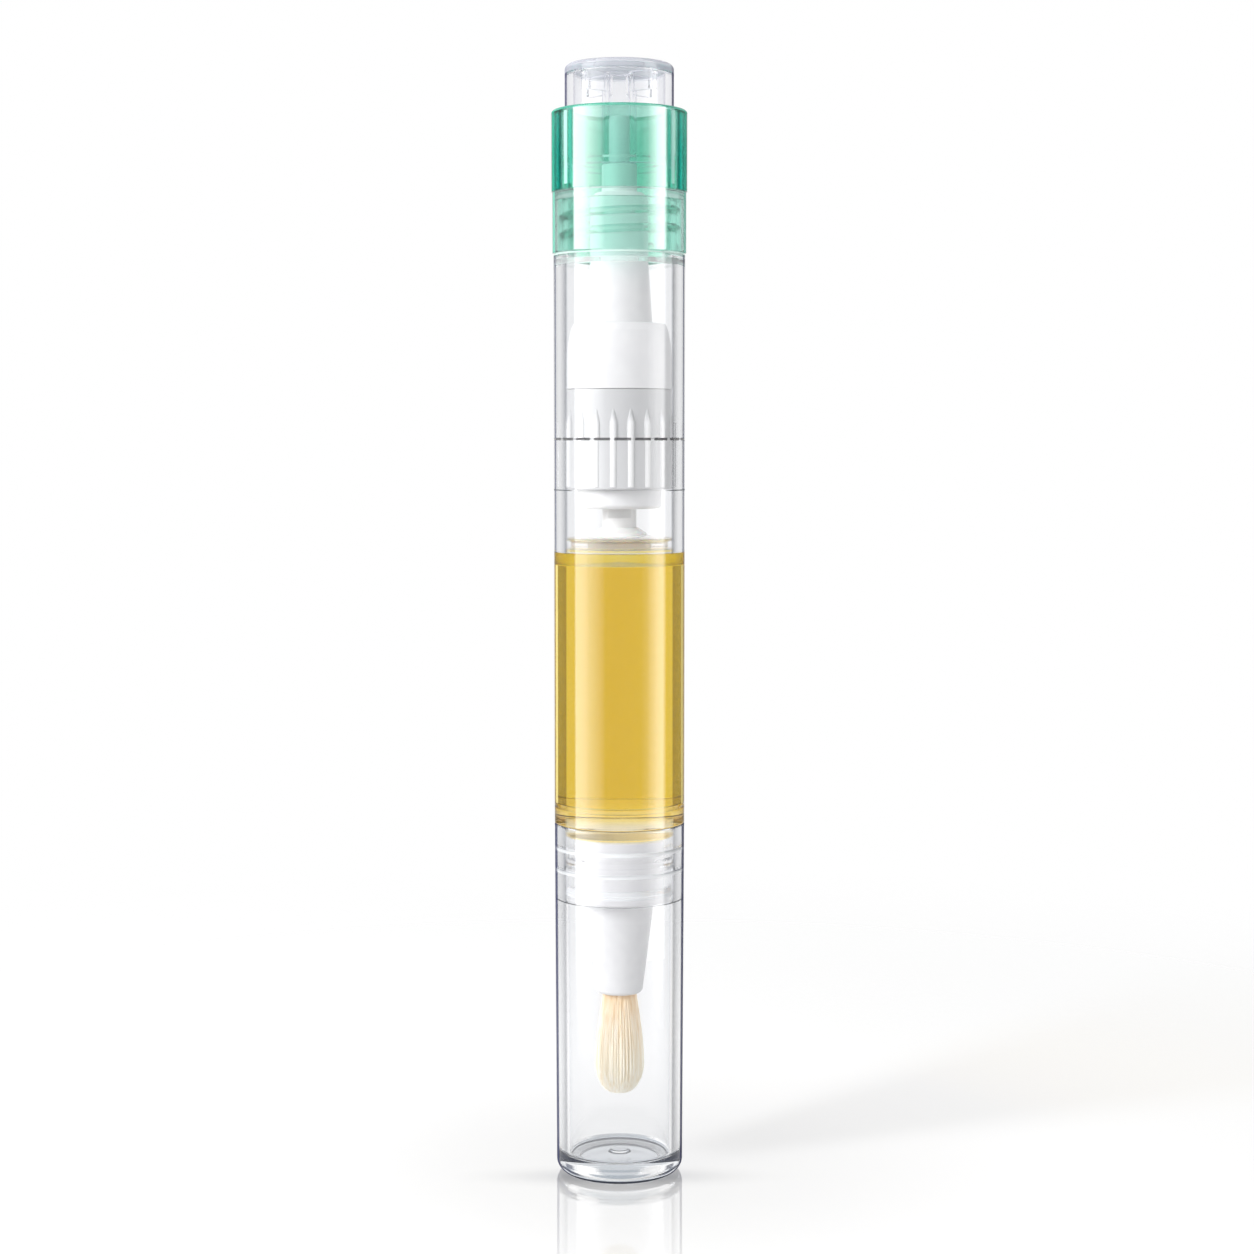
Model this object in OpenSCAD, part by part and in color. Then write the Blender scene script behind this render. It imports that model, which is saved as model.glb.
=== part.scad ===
// Click pen for nail oil, standing on its clear cap.
// Millimetres, +Z up, origin in the middle of the cap's base.
// A press on the button indexes a toothed rotor, the rotor turns the lead screw in its nut,
// and the screw drives the piston down on the oil.

/* [Barrels] */
// Outer diameter of both clear barrels and of the cap's mouth
barrel_d = 15; // [14.6:0.1:17]
// Wall of both clear barrels
barrel_wall = 1.24; // [1.1:0.02:1.35]
// Length of the oil barrel without its neck
reservoir_len = 44.1; // [40:0.1:60]
// Length of the barrel over the click mechanism without its neck
upper_len = 20.8; // [20:0.1:24]
// Open joint line between the two barrels
barrel_gap = 0.2; // [0.1:0.05:0.4]
// Bevel on the outer edges of the clear barrels
barrel_edge = 0.25; // [0.1:0.05:0.4]

/* [Brush neck] */
// Length of the neck that the cap covers
neck_len = 8.8; // [8:0.1:10]
// Step from the barrel in to the neck
neck_step = 1.45; // [1.35:0.01:1.5]
// Wall of the neck
neck_wall = 0.85; // [0.75:0.05:1.05]
// Height of the snap bead and the guide land over the neck
neck_land = 0.23; // [0.15:0.01:0.25]
// Height of the thicker ring at the neck's end over the neck
neck_tip_land = 0.15; // [0.1:0.01:0.2]
// Length of the thicker ring at the neck's end
neck_tip_len = 1; // [0.6:0.1:1.5]
// Width of the snap bead
bead_w = 1; // [0.8:0.1:1.4]
// Length of the guide land under the shoulder
guide_len = 1.4; // [1:0.1:2]
// Height of the barrel's floor cone between bore and neck bore
shoulder_h = 0.7; // [0.4:0.1:1]
// Thickness of the oil barrel's floor at the bore
shoulder_len = 2.3; // [1.8:0.1:3]

/* [Cap] */
// Height of the cap
cap_h = 40.95; // [38:0.05:46]
// Loss of outer radius from the mouth to the base
cap_draft = 0.17; // [0:0.01:0.3]
// Rounding of the outer edge of the base
cap_edge_r = 1.4; // [0.8:0.1:1.8]
// Thickness of the floor
cap_floor = 2.2; // [1.4:0.1:3]
// Rounding between the floor and the wall inside
cap_floor_r = 0.6; // [0.3:0.1:1]
// Depth of the wide bore that takes the neck
cap_socket_len = 8.85; // [8.3:0.05:10.5]
// Width of the step below the socket
cap_step = 0.27; // [0.15:0.01:0.35]
// Distance from the mouth to the snap groove
cap_groove_drop = 2.85; // [2:0.05:3.2]
// Width of the snap groove
cap_groove_w = 2.5; // [2:0.1:3]
// Depth of the snap groove
cap_groove_depth = 0.18; // [0.1:0.01:0.3]
// Width of the ring under the base that the pen stands on
cap_ring_w = 1.33; // [1:0.01:2]
// Depth of the recess under the base
cap_recess = 0.35; // [0.2:0.05:0.6]
// Diameter of the moulding gate's pip on the floor
cap_pip_d = 2.5; // [1.5:0.1:4]
// Height of the pip on the floor
cap_pip = 0.25; // [0.1:0.05:0.4]

/* [Brush] */
// Length of the brush holder's cone below the neck
cone_len = 11.1; // [9:0.1:14]
// Diameter of the cone where it leaves the neck
cone_d = 8.1; // [7.5:0.1:9]
// Diameter of the cone at its tip
cone_tip_d = 5.3; // [5.1:0.1:6]
// Rounding of the cone's tip
cone_tip_r = 0.5; // [0.2:0.05:0.6]
// Length of the holder's plug inside the neck
plug_len = 7.3; // [6:0.1:8]
// Height of the holder's flange in the neck's end
flange_h = 0.8; // [0.5:0.1:1]
// Width by which the flange stands out over the plug
flange_w = 0.65; // [0.4:0.05:0.7]
// Wall of the holder's plug
plug_wall = 1.3; // [1:0.1:1.6]
// Diameter of the channel that takes the brush
channel_d = 4.9; // [4.7:0.1:5.1]
// Diameter of the mouth that the bristles leave by
brush_mouth_d = 3.94; // [3.8:0.02:4]
// Depth of the narrow mouth
brush_mouth_len = 3.5; // [2.5:0.1:5]
// Thickness of the brush's moulded flange
brush_flange_h = 0.75; // [0.5:0.05:1.2]
// Distance from the cone's tip up to the end of the brush's stem
brush_inset = 0.2; // [0.1:0.05:0.4]
// Length of the bristles below the cone's tip
tuft_len = 11.7; // [9:0.1:14]
// Diameter of the bristles at their belly
tuft_d = 6.2; // [5:0.1:7.5]
// Height of the rounded end of the bristles
tuft_dome = 1.8; // [1:0.1:3]
// Distance from the cone's tip to the belly
tuft_belly = 8; // [6:0.1:9]
// Number of bristles
bristle_count = 320; // [300:10:400]
// Thickness of a bristle at its root
bristle_root_d = 0.11; // [0.08:0.01:0.12]
// Thickness of a bristle at the belly
bristle_d = 0.23; // [0.15:0.01:0.24]
// Outer diameter of the tube that feeds the bristles
feed_d = 1.7; // [1.5:0.05:1.8]
// Bore of the tube that feeds the bristles
feed_bore_d = 0.9; // [0.6:0.05:1]
// Height of the feed tube's collar
feed_collar_h = 2.5; // [1.5:0.1:4]

/* [Piston] */
// Distance from the nut down to the piston's top
piston_drop = 2.2; // [1.5:0.1:6]
// Height of the piston from its flat underside to its top
piston_h = 4.3; // [4.1:0.1:6]
// Diameter of the piston's conical top
piston_top_d = 6.3; // [6:0.1:7]
// Fall of the conical top from the screw to its edge
piston_slope = 0.65; // [0.4:0.05:0.7]
// Loss of radius from the lips to the edge of the piston's underside
piston_nose_w = 1.04; // [0.7:0.02:1.4]
// Height of the taper under the lower lip
piston_nose_h = 1.5; // [1.2:0.1:1.8]
// Height of each lip
lip_h = 0.45; // [0.3:0.05:0.6]
// Distance between the two lips
lip_gap = 0.75; // [0.5:0.05:1]
// Depth of the groove between the lips
lip_depth = 0.65; // [0.4:0.05:0.8]
// Depth of the dish in the underside
piston_dish = 0.5; // [0.2:0.05:0.8]

/* [Lead screw] */
// Diameter of the lead screw over its thread, as a share of the barrel's bore
screw_share = 0.3131; // [0.3:0.0001:0.32]
// Width across the screw's two flats, as a share of its diameter
flats_share = 0.74; // [0.7:0.01:0.8]
// Advance for one turn
screw_pitch = 2; // [1.5:0.25:2.5]
// Width by which the screw's snap head stands out over the screw inside the piston
head_w = 0.44; // [0.35:0.01:0.5]
// Height of the snap head
head_h = 1.3; // [1:0.05:1.5]
// Distance from the piston's top down to the snap head
head_drop = 1.2; // [1:0.05:1.4]
// Bevel at the screw's upper end
screw_bevel = 0.4; // [0.2:0.05:0.6]

/* [Nut and ribbed coupling] */
// Height of the nut below the coupling
nut_boss_h = 2.2; // [1.5:0.1:2.4]
// Step from the coupling in to the nut's boss
nut_step = 1.12; // [0.8:0.02:1.5]
// Rounding of the boss's lower edge
nut_boss_r = 0.5; // [0.3:0.05:0.8]
// Wall of the nut's shank in the coupling's floor
nut_wall = 0.97; // [0.9:0.01:1]
// Length of the nut's shank
nut_shank_h = 1.5; // [1.3:0.1:1.8]
// Length of the coupling
coupling_len = 11.3; // [11.2:0.1:11.8]
// Length of the coupling below the joint of the barrels
coupling_drop = 5.6; // [5.4:0.1:6.5]
// Number of ribs round the coupling
rib_count = 20; // [16:1:24]
// Turn of the first rib from the front
rib_turn = -6.5; // [-9:0.5:9]
// Height of a rib over the coupling
rib_h = 0.26; // [0.2:0.01:0.3]
// Half width of a rib's round back
rib_r = 0.42; // [0.36:0.01:0.5]
// Length of a rib with its tapered top
rib_len = 8.8; // [7:0.1:9]
// Length of a rib's tapered top
rib_taper = 1.6; // [1:0.1:2]
// Wall of the coupling round the housing's spigot
coupling_wall = 0.42; // [0.35:0.01:0.45]
// Thickness of the coupling's floor
coupling_floor = 1.2; // [1:0.05:1.3]
// Bevel at the coupling's lower edge
coupling_bevel = 0.3; // [0.1:0.05:0.4]

/* [Click ratchet] */
// Travel of the button
button_travel = 2.5; // [2:0.1:2.6]
// Number of teeth on each crown
teeth = 8; // [6:1:10]
// Height of a tooth
tooth_h = 0.8; // [0.5:0.05:0.9]
// Radial width of a crown, as a share of the barrel's bore radius
tooth_share = 0.1406; // [0.12:0.0002:0.15]
// Air between the tips of two facing crowns
crown_gap = 0.1; // [0.05:0.01:0.2]
// Thickness of a cam ring without its teeth
ring_base = 1.5; // [1.2:0.05:1.6]
// Thickness of the rotor without its teeth
rotor_body = 2; // [1.6:0.1:2.2]
// Diameter of the rotor's hub tube, as a share of its hole for the screw
hub_share = 1.368; // [1.3:0.002:1.4]
// Turns of the rotor for the piston's full stroke
stroke_turns = 12.5; // [11:0.125:12.5]
// Length of the housing above the coupling
housing_h = 7.5; // [7.2:0.1:8]
// Width of the ring of air between the housing and the barrel
housing_air = 0.21; // [0.15:0.01:0.3]
// Loss of radius over the housing's domed shoulder
housing_crown = 0.73; // [0.5:0.01:0.8]
// Height of the straight wall below the domed shoulder
housing_straight = 2.2; // [1.5:0.1:2.4]
// Thickness of the housing's roof
housing_roof = 1.2; // [1:0.05:1.4]
// Rounding of the roof's outer edge
housing_edge = 0.2; // [0.1:0.05:0.3]
// Length of the spigot that enters the coupling
spigot_len = 1.85; // [1.5:0.05:2]
// Wall of that spigot
spigot_wall = 0.36; // [0.3:0.01:0.4]
// Height of the upper cam ring's seat over the coupling
ring_seat = 2.7; // [2.5:0.05:2.8]
// Width of the ledge that the upper cam ring seats on
ring_ledge = 0.4; // [0.3:0.05:0.45]

/* [Return spring] */
// Thickness of the spring's wire
wire_d = 0.45; // [0.35:0.01:0.5]
// Number of turns
spring_turns = 6; // [4:1:6]

/* [Pusher] */
// Step from the pusher's foot in to the sleeve where it is widest above the housing
sleeve_step = 0.28; // [0.25:0.01:0.4]
// Share of the sleeve's wall that its taper takes off
sleeve_taper_share = 0.346; // [0.2:0.002:0.4]
// Length of the sleeve's taper
sleeve_taper = 8.2; // [5:0.1:9]
// Height of the retaining flange
stop_h = 0.85; // [0.6:0.05:1]
// Thickness of the pusher's roof
pusher_roof = 0.8; // [0.6:0.05:1]
// Width by which the stem under the button's boss stands out over the screw
stem_w = 0.04; // [0:0.01:0.1]
// Height of the stem
stem_h = 3.2; // [2.5:0.1:3.5]
// Diameter of the pin in the button's boss
pin_d = 2.4; // [2:0.1:2.6]
// Height of the pin
pin_h = 5.4; // [4:0.1:6]
// Rounding of the pin's top
pin_r = 0.6; // [0.3:0.1:0.8]

/* [Tail collar] */
// Width by which the collar's head stands out over the barrel
collar_rise = 0.22; // [0.15:0.01:0.4]
// Height of the collar's head
collar_head = 9.1; // [7.5:0.1:10]
// Wall of the head round the button
collar_wall = 1.48; // [1.2:0.02:1.6]
// Width by which the collar's thin skirt stands out over the barrel
skirt_rise = 0.12; // [0.05:0.01:0.13]
// Height of the skirt over the barrel's neck
skirt_h = 6.9; // [6.2:0.1:8]
// Wall of the skirt
skirt_wall = 0.57; // [0.5:0.01:0.6]
// Thickness of the web between head and skirt
collar_web = 1; // [0.7:0.1:1.3]
// Gap between the skirt and the barrel's shoulder
skirt_gap = 0.1; // [0.05:0.01:0.2]
// Wall of the spigot that plugs the barrel
plug_spigot_wall = 0.9; // [0.7:0.05:1]
// Length of the spigot below the skirt
plug_spigot_len = 1; // [0.6:0.1:1.3]
// Height of the guide lip at the top of the head
lip_guide_h = 5.4; // [4:0.1:6]
// Rounding of the head's upper edge
collar_edge = 0.3; // [0.15:0.05:0.5]

/* [Threaded neck] */
// Room for the thread between the collar's skirt and the upper barrel's neck
thread_room = 0.5; // [0.4:0.02:0.6]
// Wall of that neck at the root of its thread
thread_neck_wall = 0.65; // [0.6:0.05:0.75]
// Height of the cone between the bore and the neck's bore
thread_cone_h = 0.6; // [0.4:0.05:0.8]

/* [Button] */
// Height of the button over the collar
button_rise = 5.2; // [4.5:0.1:7]
// Wall of the button
button_wall = 0.95; // [0.7:0.05:1.1]
// Thickness of the button's top
button_top = 1; // [0.8:0.05:1.4]
// Rounding of the button's upper edge
button_edge = 0.65; // [0.3:0.05:0.8]
// Height of the bead that keeps the button in the collar
button_bead_h = 0.8; // [0.5:0.05:1]
// Width of that bead
button_bead = 0.26; // [0.15:0.01:0.3]
// Wall of the boss round the pusher's pin
boss_wall = 0.73; // [0.6:0.01:0.8]
// Thickness of the button's four inner ribs
button_rib_t = 0.7; // [0.5:0.05:0.9]
// Height of the button's inner ribs
button_rib_h = 2.2; // [1.5:0.1:3]

/* [Clearances] */
// Radial clearance of a pressed or bonded fit
fit = 0.02; // [0.01:0.005:0.03]
// Radial clearance of a running fit
run = 0.05; // [0.03:0.01:0.07]
// Radial clearance between cap and neck
slide = 0.04; // [0.03:0.01:0.06]
// End clearance between faces that seat on each other
seat = 0.05; // [0.03:0.01:0.08]
// Free air between parts that pass each other
air = 0.15; // [0.1:0.01:0.2]

/* [Hidden] */
$fn = 72;
// Reach of a cutting shape past the face that it opens
cut = 1;

clear_plastic = [0.86, 0.89, 0.93, 0.4];
white_plastic = [0.95, 0.95, 0.94];
green_plastic = [0.3, 0.76, 0.62, 0.75];
oil_amber = [0.9, 0.68, 0.2, 0.8];

// Heights of the main joints, from the base up
z_shoulder_out = cap_h + seat;
z_neck_end = z_shoulder_out - neck_len;
z_bore_floor = z_shoulder_out + shoulder_len;
z_reservoir_top = z_shoulder_out + reservoir_len;
z_upper = z_reservoir_top + barrel_gap;
z_upper_top = z_upper + upper_len;
z_skirt = z_upper_top + skirt_gap;
z_head = z_skirt + skirt_h;
z_collar_top = z_head + collar_head;
z_button_top = z_collar_top + button_rise;
z_thread_top = z_head - collar_web - seat;

// Heights of the mechanism, which hangs on the coupling
z_coupling = z_reservoir_top - coupling_drop;
z_housing = z_coupling + coupling_len;
z_housing_top = z_housing + housing_h;
z_nut = z_coupling - nut_boss_h;
z_nut_top = z_coupling + nut_shank_h;
ring_h = ring_base + tooth_h;
z_upper_ring = z_housing + ring_seat - ring_h;
rotor_h = rotor_body + 2 * tooth_h;
z_rotor = z_upper_ring - crown_gap - rotor_h;
z_lower_ring = z_rotor - button_travel - crown_gap - ring_h;
z_hub = z_nut_top + air + button_travel;
z_spring = z_coupling + coupling_floor;
z_pusher = z_rotor + rotor_h + seat;
z_pusher_stop = z_housing_top - housing_roof - seat - stop_h;

// Heights of the piston and its screw
z_piston_top = z_nut - piston_drop;
z_piston = z_piston_top - piston_h;
z_head_top = z_piston_top - head_drop;

// Heights of the pusher and the button
z_button = z_head + button_travel + air + seat;
z_stem = z_head - air;
z_pin = z_stem + stem_h;
z_pusher_bore = z_stem - pusher_roof;
z_screw_top = z_pusher_bore - button_travel - air;
stroke = stroke_turns * screw_pitch;

// Radii that follow the barrels
barrel_r = barrel_d / 2;
bore_r = barrel_r - barrel_wall;
neck_r = barrel_r - neck_step;
neck_bore_r = neck_r - neck_wall;
neck_land_r = neck_r + neck_land;
socket_r = neck_land_r + slide;
cap_bore_r = socket_r - cap_step;
cap_base_r = barrel_r - cap_draft;
cap_recess_r = cap_base_r - cap_edge_r - cap_ring_w;
plug_r = neck_bore_r - fit;
flange_r = plug_r + flange_w;
piston_lip_r = bore_r - fit;
piston_nose_r = piston_lip_r - piston_nose_w;

// Radii of the mechanism, from the bore inwards
rib_crest_r = bore_r - fit;
coupling_r = rib_crest_r - rib_h;
spigot_r = coupling_r - coupling_wall - fit;
cam_bore_r = spigot_r - spigot_wall;
ring_r = cam_bore_r - fit;
ring_bore_r = ring_r - tooth_share * bore_r;
rotor_r = cam_bore_r - air;
foot_r = ring_bore_r - air;
housing_r = bore_r - housing_air;
sleeve_low_r = foot_r - sleeve_step;
mouth_r = sleeve_low_r + air / 2;
stop_r = cam_bore_r - ring_ledge - air;

// Radii of the screw and of what it passes through
screw_r = screw_share * bore_r;
screw_flats = flats_share * 2 * screw_r;
screw_hole_r = screw_r + run;
head_r = screw_r + head_w;
nut_boss_out_r = coupling_r - nut_step;
nut_shank_r = screw_hole_r + nut_wall;
hub_r = screw_hole_r * hub_share;
pusher_bore_r = screw_r + 2 * air;
stem_r = screw_r + stem_w;

// Radii of the tail
collar_r = barrel_r + collar_rise;
skirt_r = barrel_r + skirt_rise;
skirt_bore_r = skirt_r - skirt_wall;
thread_root_r = skirt_bore_r - thread_room;
thread_bore_r = thread_root_r - thread_neck_wall;
guide_r = collar_r - collar_wall;
button_r = guide_r - run;
bead_r = button_r + button_bead;
boss_bore_r = pin_d / 2 + fit;
boss_r = boss_bore_r + boss_wall;
plug_spigot_r = thread_bore_r - run;
plug_spigot_bore_r = plug_spigot_r - plug_spigot_wall;

// Brush root, which seats on the holder's shoulder
z_cone_tip = z_neck_end - cone_len;
z_brush_seat = z_cone_tip + brush_mouth_len;
z_brush_stem = z_cone_tip + brush_inset;
brush_stem_r = brush_mouth_d / 2 - fit;
brush_flange_r = channel_d / 2 - fit;
feed_r = feed_d / 2;

function lerp(a, b, t) = a + (b - a) * t;

// Points of an arc about [cr, cz] from angle a0 to angle a1
function arc(cr, cz, r, a0, a1, steps = 6) =
    [for (i = [0:steps]) let (a = lerp(a0, a1, i / steps)) [cr + r * cos(a), cz + r * sin(a)]];

// Ring or disc between two radii
module tube(r_out, r_in, z0, z1) {
    translate([0, 0, z0])
        difference() {
            cylinder(r = r_out, h = z1 - z0);
            if (r_in > 0)
                translate([0, 0, -cut])
                    cylinder(r = r_in, h = z1 - z0 + 2 * cut);
        }
}

module turned(points) {
    rotate_extrude()
        polygon(points);
}

// Cap: drafted cup with a recessed base, a socket for the neck and a snap groove in it
module cap_shell() {
    z_step = cap_h - cap_socket_len;
    z_groove = cap_h - cap_groove_drop - cap_groove_w;
    groove_r = socket_r + cap_groove_depth;
    floor_corner_r = cap_bore_r - cap_draft;
    color(clear_plastic) {
        turned(concat(
            [[0, cap_recess], [cap_recess_r, cap_recess], [cap_recess_r, 0]],
            arc(cap_base_r - cap_edge_r, cap_edge_r, cap_edge_r, -90, 0),
            [
                [barrel_r, cap_h - barrel_edge / 2],
                [barrel_r - barrel_edge / 2, cap_h],
                [socket_r + barrel_edge / 2, cap_h],
                [socket_r, cap_h - barrel_edge / 2],
                [socket_r, z_groove + cap_groove_w + cap_groove_depth],
                [groove_r, z_groove + cap_groove_w],
                [groove_r, z_groove + cap_groove_depth],
                [socket_r, z_groove],
                [socket_r, z_step],
                [cap_bore_r, z_step]
            ],
            arc(floor_corner_r - cap_floor_r, cap_floor + cap_floor_r, cap_floor_r, 0, -90),
            [[cap_pip_d / 2, cap_floor], [cap_pip_d / 2 - cap_pip, cap_floor + cap_pip],
             [0, cap_floor + cap_pip]]
        ));
    }
}

// Oil barrel: clear tube, floor cone and the neck with its snap bead and guide land
module reservoir_barrel() {
    z_bead = cap_h - cap_groove_drop - cap_groove_w / 2;
    sink_r = flange_r + fit;
    z_sink = z_neck_end + flange_h + seat;
    color(clear_plastic)
        turned([
            [sink_r, z_neck_end],
            [neck_r + neck_tip_land, z_neck_end],
            [neck_r + neck_tip_land, z_neck_end + neck_tip_len],
            [neck_r, z_neck_end + neck_tip_len + neck_tip_land],
            [neck_r, z_bead - bead_w / 2],
            [neck_land_r, z_bead - bead_w / 2 + neck_land],
            [neck_land_r, z_bead + bead_w / 2 - neck_land],
            [neck_r, z_bead + bead_w / 2],
            [neck_r, z_shoulder_out - guide_len],
            [neck_land_r, z_shoulder_out - guide_len + neck_land],
            [neck_land_r, z_shoulder_out],
            [barrel_r - barrel_edge / 2, z_shoulder_out],
            [barrel_r, z_shoulder_out + barrel_edge / 2],
            [barrel_r, z_reservoir_top - barrel_edge],
            [barrel_r - barrel_edge, z_reservoir_top],
            [bore_r, z_reservoir_top],
            [bore_r, z_bore_floor],
            [neck_bore_r, z_bore_floor - shoulder_h],
            [neck_bore_r, z_sink + flange_w],
            [sink_r, z_sink]
        ]);
}

// Oil between the brush holder and the piston, up round the piston's taper
module oil_fill() {
    z_plug_top = z_neck_end + plug_len;
    z_lip = z_piston + piston_nose_h - seat;
    color(oil_amber)
        turned([
            [0, z_plug_top + seat],
            [neck_bore_r - fit, z_plug_top + seat],
            [neck_bore_r - fit, z_bore_floor - shoulder_h],
            [bore_r - fit, z_bore_floor],
            [bore_r - fit, z_lip],
            [piston_lip_r - seat, z_lip],
            [piston_nose_r, z_piston - seat],
            [0, z_piston - seat]
        ]);
}

// Brush holder: hollow plug in the neck, flange in the neck's end and a round-nosed cone
module brush_holder() {
    z_plug_top = z_neck_end + plug_len;
    cone_r = cone_d / 2;
    tip_r = cone_tip_d / 2;
    channel_r = channel_d / 2;
    cavity_r = plug_r - plug_wall;
    cone_slope = atan((cone_r - tip_r) / cone_len);
    color(white_plastic)
        turned(concat(
            [[brush_mouth_d / 2, z_cone_tip]],
            arc(tip_r - cone_tip_r, z_cone_tip + cone_tip_r, cone_tip_r, -90, -cone_slope),
            [
                [cone_r, z_neck_end],
                [flange_r, z_neck_end],
                [flange_r, z_neck_end + flange_h],
                [plug_r, z_neck_end + flange_h + flange_w],
                [plug_r, z_plug_top - barrel_edge],
                [plug_r - barrel_edge, z_plug_top],
                [cavity_r, z_plug_top],
                [cavity_r, z_neck_end + flange_h],
                [channel_r, z_neck_end - flange_h],
                [channel_r, z_brush_seat],
                [brush_mouth_d / 2, z_brush_seat]
            ]
        ));
}

// Turn from one bristle to the next that spreads them evenly over the stem
golden_angle = 137.508;

// Triangular bristle from its root in the stem over the belly to the rounded end
function bristle_ring(r, turn, z, d) =
    [for (k = [0:2]) let (a = 120 * k + turn)
        [r * cos(turn) + d / 2 * cos(a), r * sin(turn) + d / 2 * sin(a), z]];

function bristle_points(i) =
    let (
        turn = i * golden_angle,
        share = (i + 0.5) / bristle_count,
        root_in = feed_r + air + bristle_root_d,
        root_out = brush_stem_r - air,
        root = sqrt(lerp(root_in * root_in, root_out * root_out, share)),
        belly = (tuft_d - bristle_d) / 2 * sqrt(share),
        z_end = z_cone_tip - tuft_len + tuft_dome * pow(share, 1.5)
    )
    concat(
        bristle_ring(root, turn, z_brush_stem, bristle_root_d),
        bristle_ring(belly, turn, z_cone_tip - tuft_belly, bristle_d),
        bristle_ring(belly * tuft_end_share, turn, z_end, bristle_d * tuft_end_share)
    );

// How far the belly's width is kept at the rounded end
tuft_end_share = 0.9;
bristle_faces = [
    [0, 2, 1],
    for (s = [0:1], k = [0:2]) let (a = 3 * s + k, b = 3 * s + (k + 1) % 3) [a, b, a + 3],
    for (s = [0:1], k = [0:2]) let (a = 3 * s + k, b = 3 * s + (k + 1) % 3) [b, b + 3, a + 3],
    [6, 7, 8]
];

// Brush: bristles fused into a moulded stem with a flange, round a hole for the feed tube
module bristles() {
    $fn = 24;
    color([0.93, 0.85, 0.72])
        resize([0, 0, z_brush_seat + seat + brush_flange_h - z_cone_tip + tuft_len])
            union() {
                tube(brush_flange_r, feed_r + run, z_brush_seat + seat,
                     z_brush_seat + seat + brush_flange_h);
                tube(brush_stem_r, feed_r + run, z_brush_stem, z_brush_seat + 2 * seat);
                polyhedron(
                    points = [for (i = [0:bristle_count - 1]) each bristle_points(i)],
                    faces = [for (i = [0:bristle_count - 1], f = bristle_faces)
                        [for (p = f) p + 9 * i]]
                );
            }
}

// Feed tube: carries oil into the middle of the tuft and keeps the brush on its seat
module feed_tube() {
    z_collar = z_brush_seat + 2 * seat + brush_flange_h;
    feed_bore_r = feed_bore_d / 2;
    color(white_plastic)
        turned([
            [feed_bore_r, z_cone_tip - brush_inset],
            [feed_r, z_cone_tip - brush_inset],
            [feed_r, z_collar],
            [brush_flange_r, z_collar],
            [brush_flange_r, z_collar + feed_collar_h],
            [feed_r, z_collar + feed_collar_h],
            [feed_bore_r, z_collar + feed_collar_h - feed_bore_r]
        ]);
}

// Piston: two lips on the bore, a taper down into the oil and a snap socket for the screw
module piston() {
    z_low_lip = z_piston + piston_nose_h;
    z_high_lip = z_low_lip + lip_h + lip_gap;
    top_r = piston_top_d / 2;
    socket_hole_r = head_r + run;
    z_socket = z_head_top - head_h - run;
    color([0.96, 0.94, 0.9])
        turned([
            [0, z_piston + piston_dish],
            [piston_nose_r / 2, z_piston + piston_dish / 2],
            [piston_nose_r - piston_dish, z_piston],
            [piston_nose_r, z_piston],
            [piston_lip_r - run, z_low_lip],
            [piston_lip_r, z_low_lip],
            [piston_lip_r, z_low_lip + lip_h],
            [piston_lip_r - lip_depth, z_low_lip + lip_h],
            [piston_lip_r - lip_depth, z_high_lip],
            [piston_lip_r, z_high_lip + lip_h / 2],
            [piston_lip_r - lip_h / 2, z_high_lip + lip_h],
            [top_r, z_piston_top - piston_slope - lip_h / 2],
            [top_r, z_piston_top - piston_slope],
            [screw_hole_r + air, z_piston_top],
            [screw_hole_r, z_piston_top],
            [screw_hole_r, z_head_top + run],
            [socket_hole_r, z_head_top + run],
            [socket_hole_r, z_socket],
            [0, z_socket]
        ]);
}

// Round bar with two flats, as the screw and the rotor's keyed bore have it
module keyed_bar(r, flats, h) {
    intersection() {
        cylinder(r = r, h = h);
        translate([-r - cut, -flats / 2, -cut])
            cube([2 * r + 2 * cut, flats, h + 2 * cut]);
    }
}

// Lead screw with two flats, a snap head in the piston and a bevelled upper end
module lead_screw() {
    z_key = z_head_top + head_drop + piston_drop / 2;
    color(white_plastic)
        union() {
            translate([0, 0, z_key])
                keyed_bar(screw_r, screw_flats, z_screw_top - screw_bevel - z_key);
            translate([0, 0, z_screw_top - screw_bevel])
                keyed_bar(screw_r - screw_bevel, screw_flats, screw_bevel);
            tube(screw_r, 0, z_head_top, z_key);
            tube(head_r, 0, z_head_top - head_h, z_head_top);
        }
}

// Nut that the screw turns in: shank pressed in the coupling's floor over a round boss
module lead_nut() {
    color(white_plastic)
        turned(concat(
            [[screw_hole_r, z_nut]],
            arc(nut_boss_out_r - nut_boss_r, z_nut + nut_boss_r, nut_boss_r, -90, 0),
            [
                [nut_boss_out_r, z_coupling - seat],
                [nut_shank_r, z_coupling - seat],
                [nut_shank_r, z_nut_top],
                [screw_hole_r, z_nut_top]
            ]
        ));
}

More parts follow.
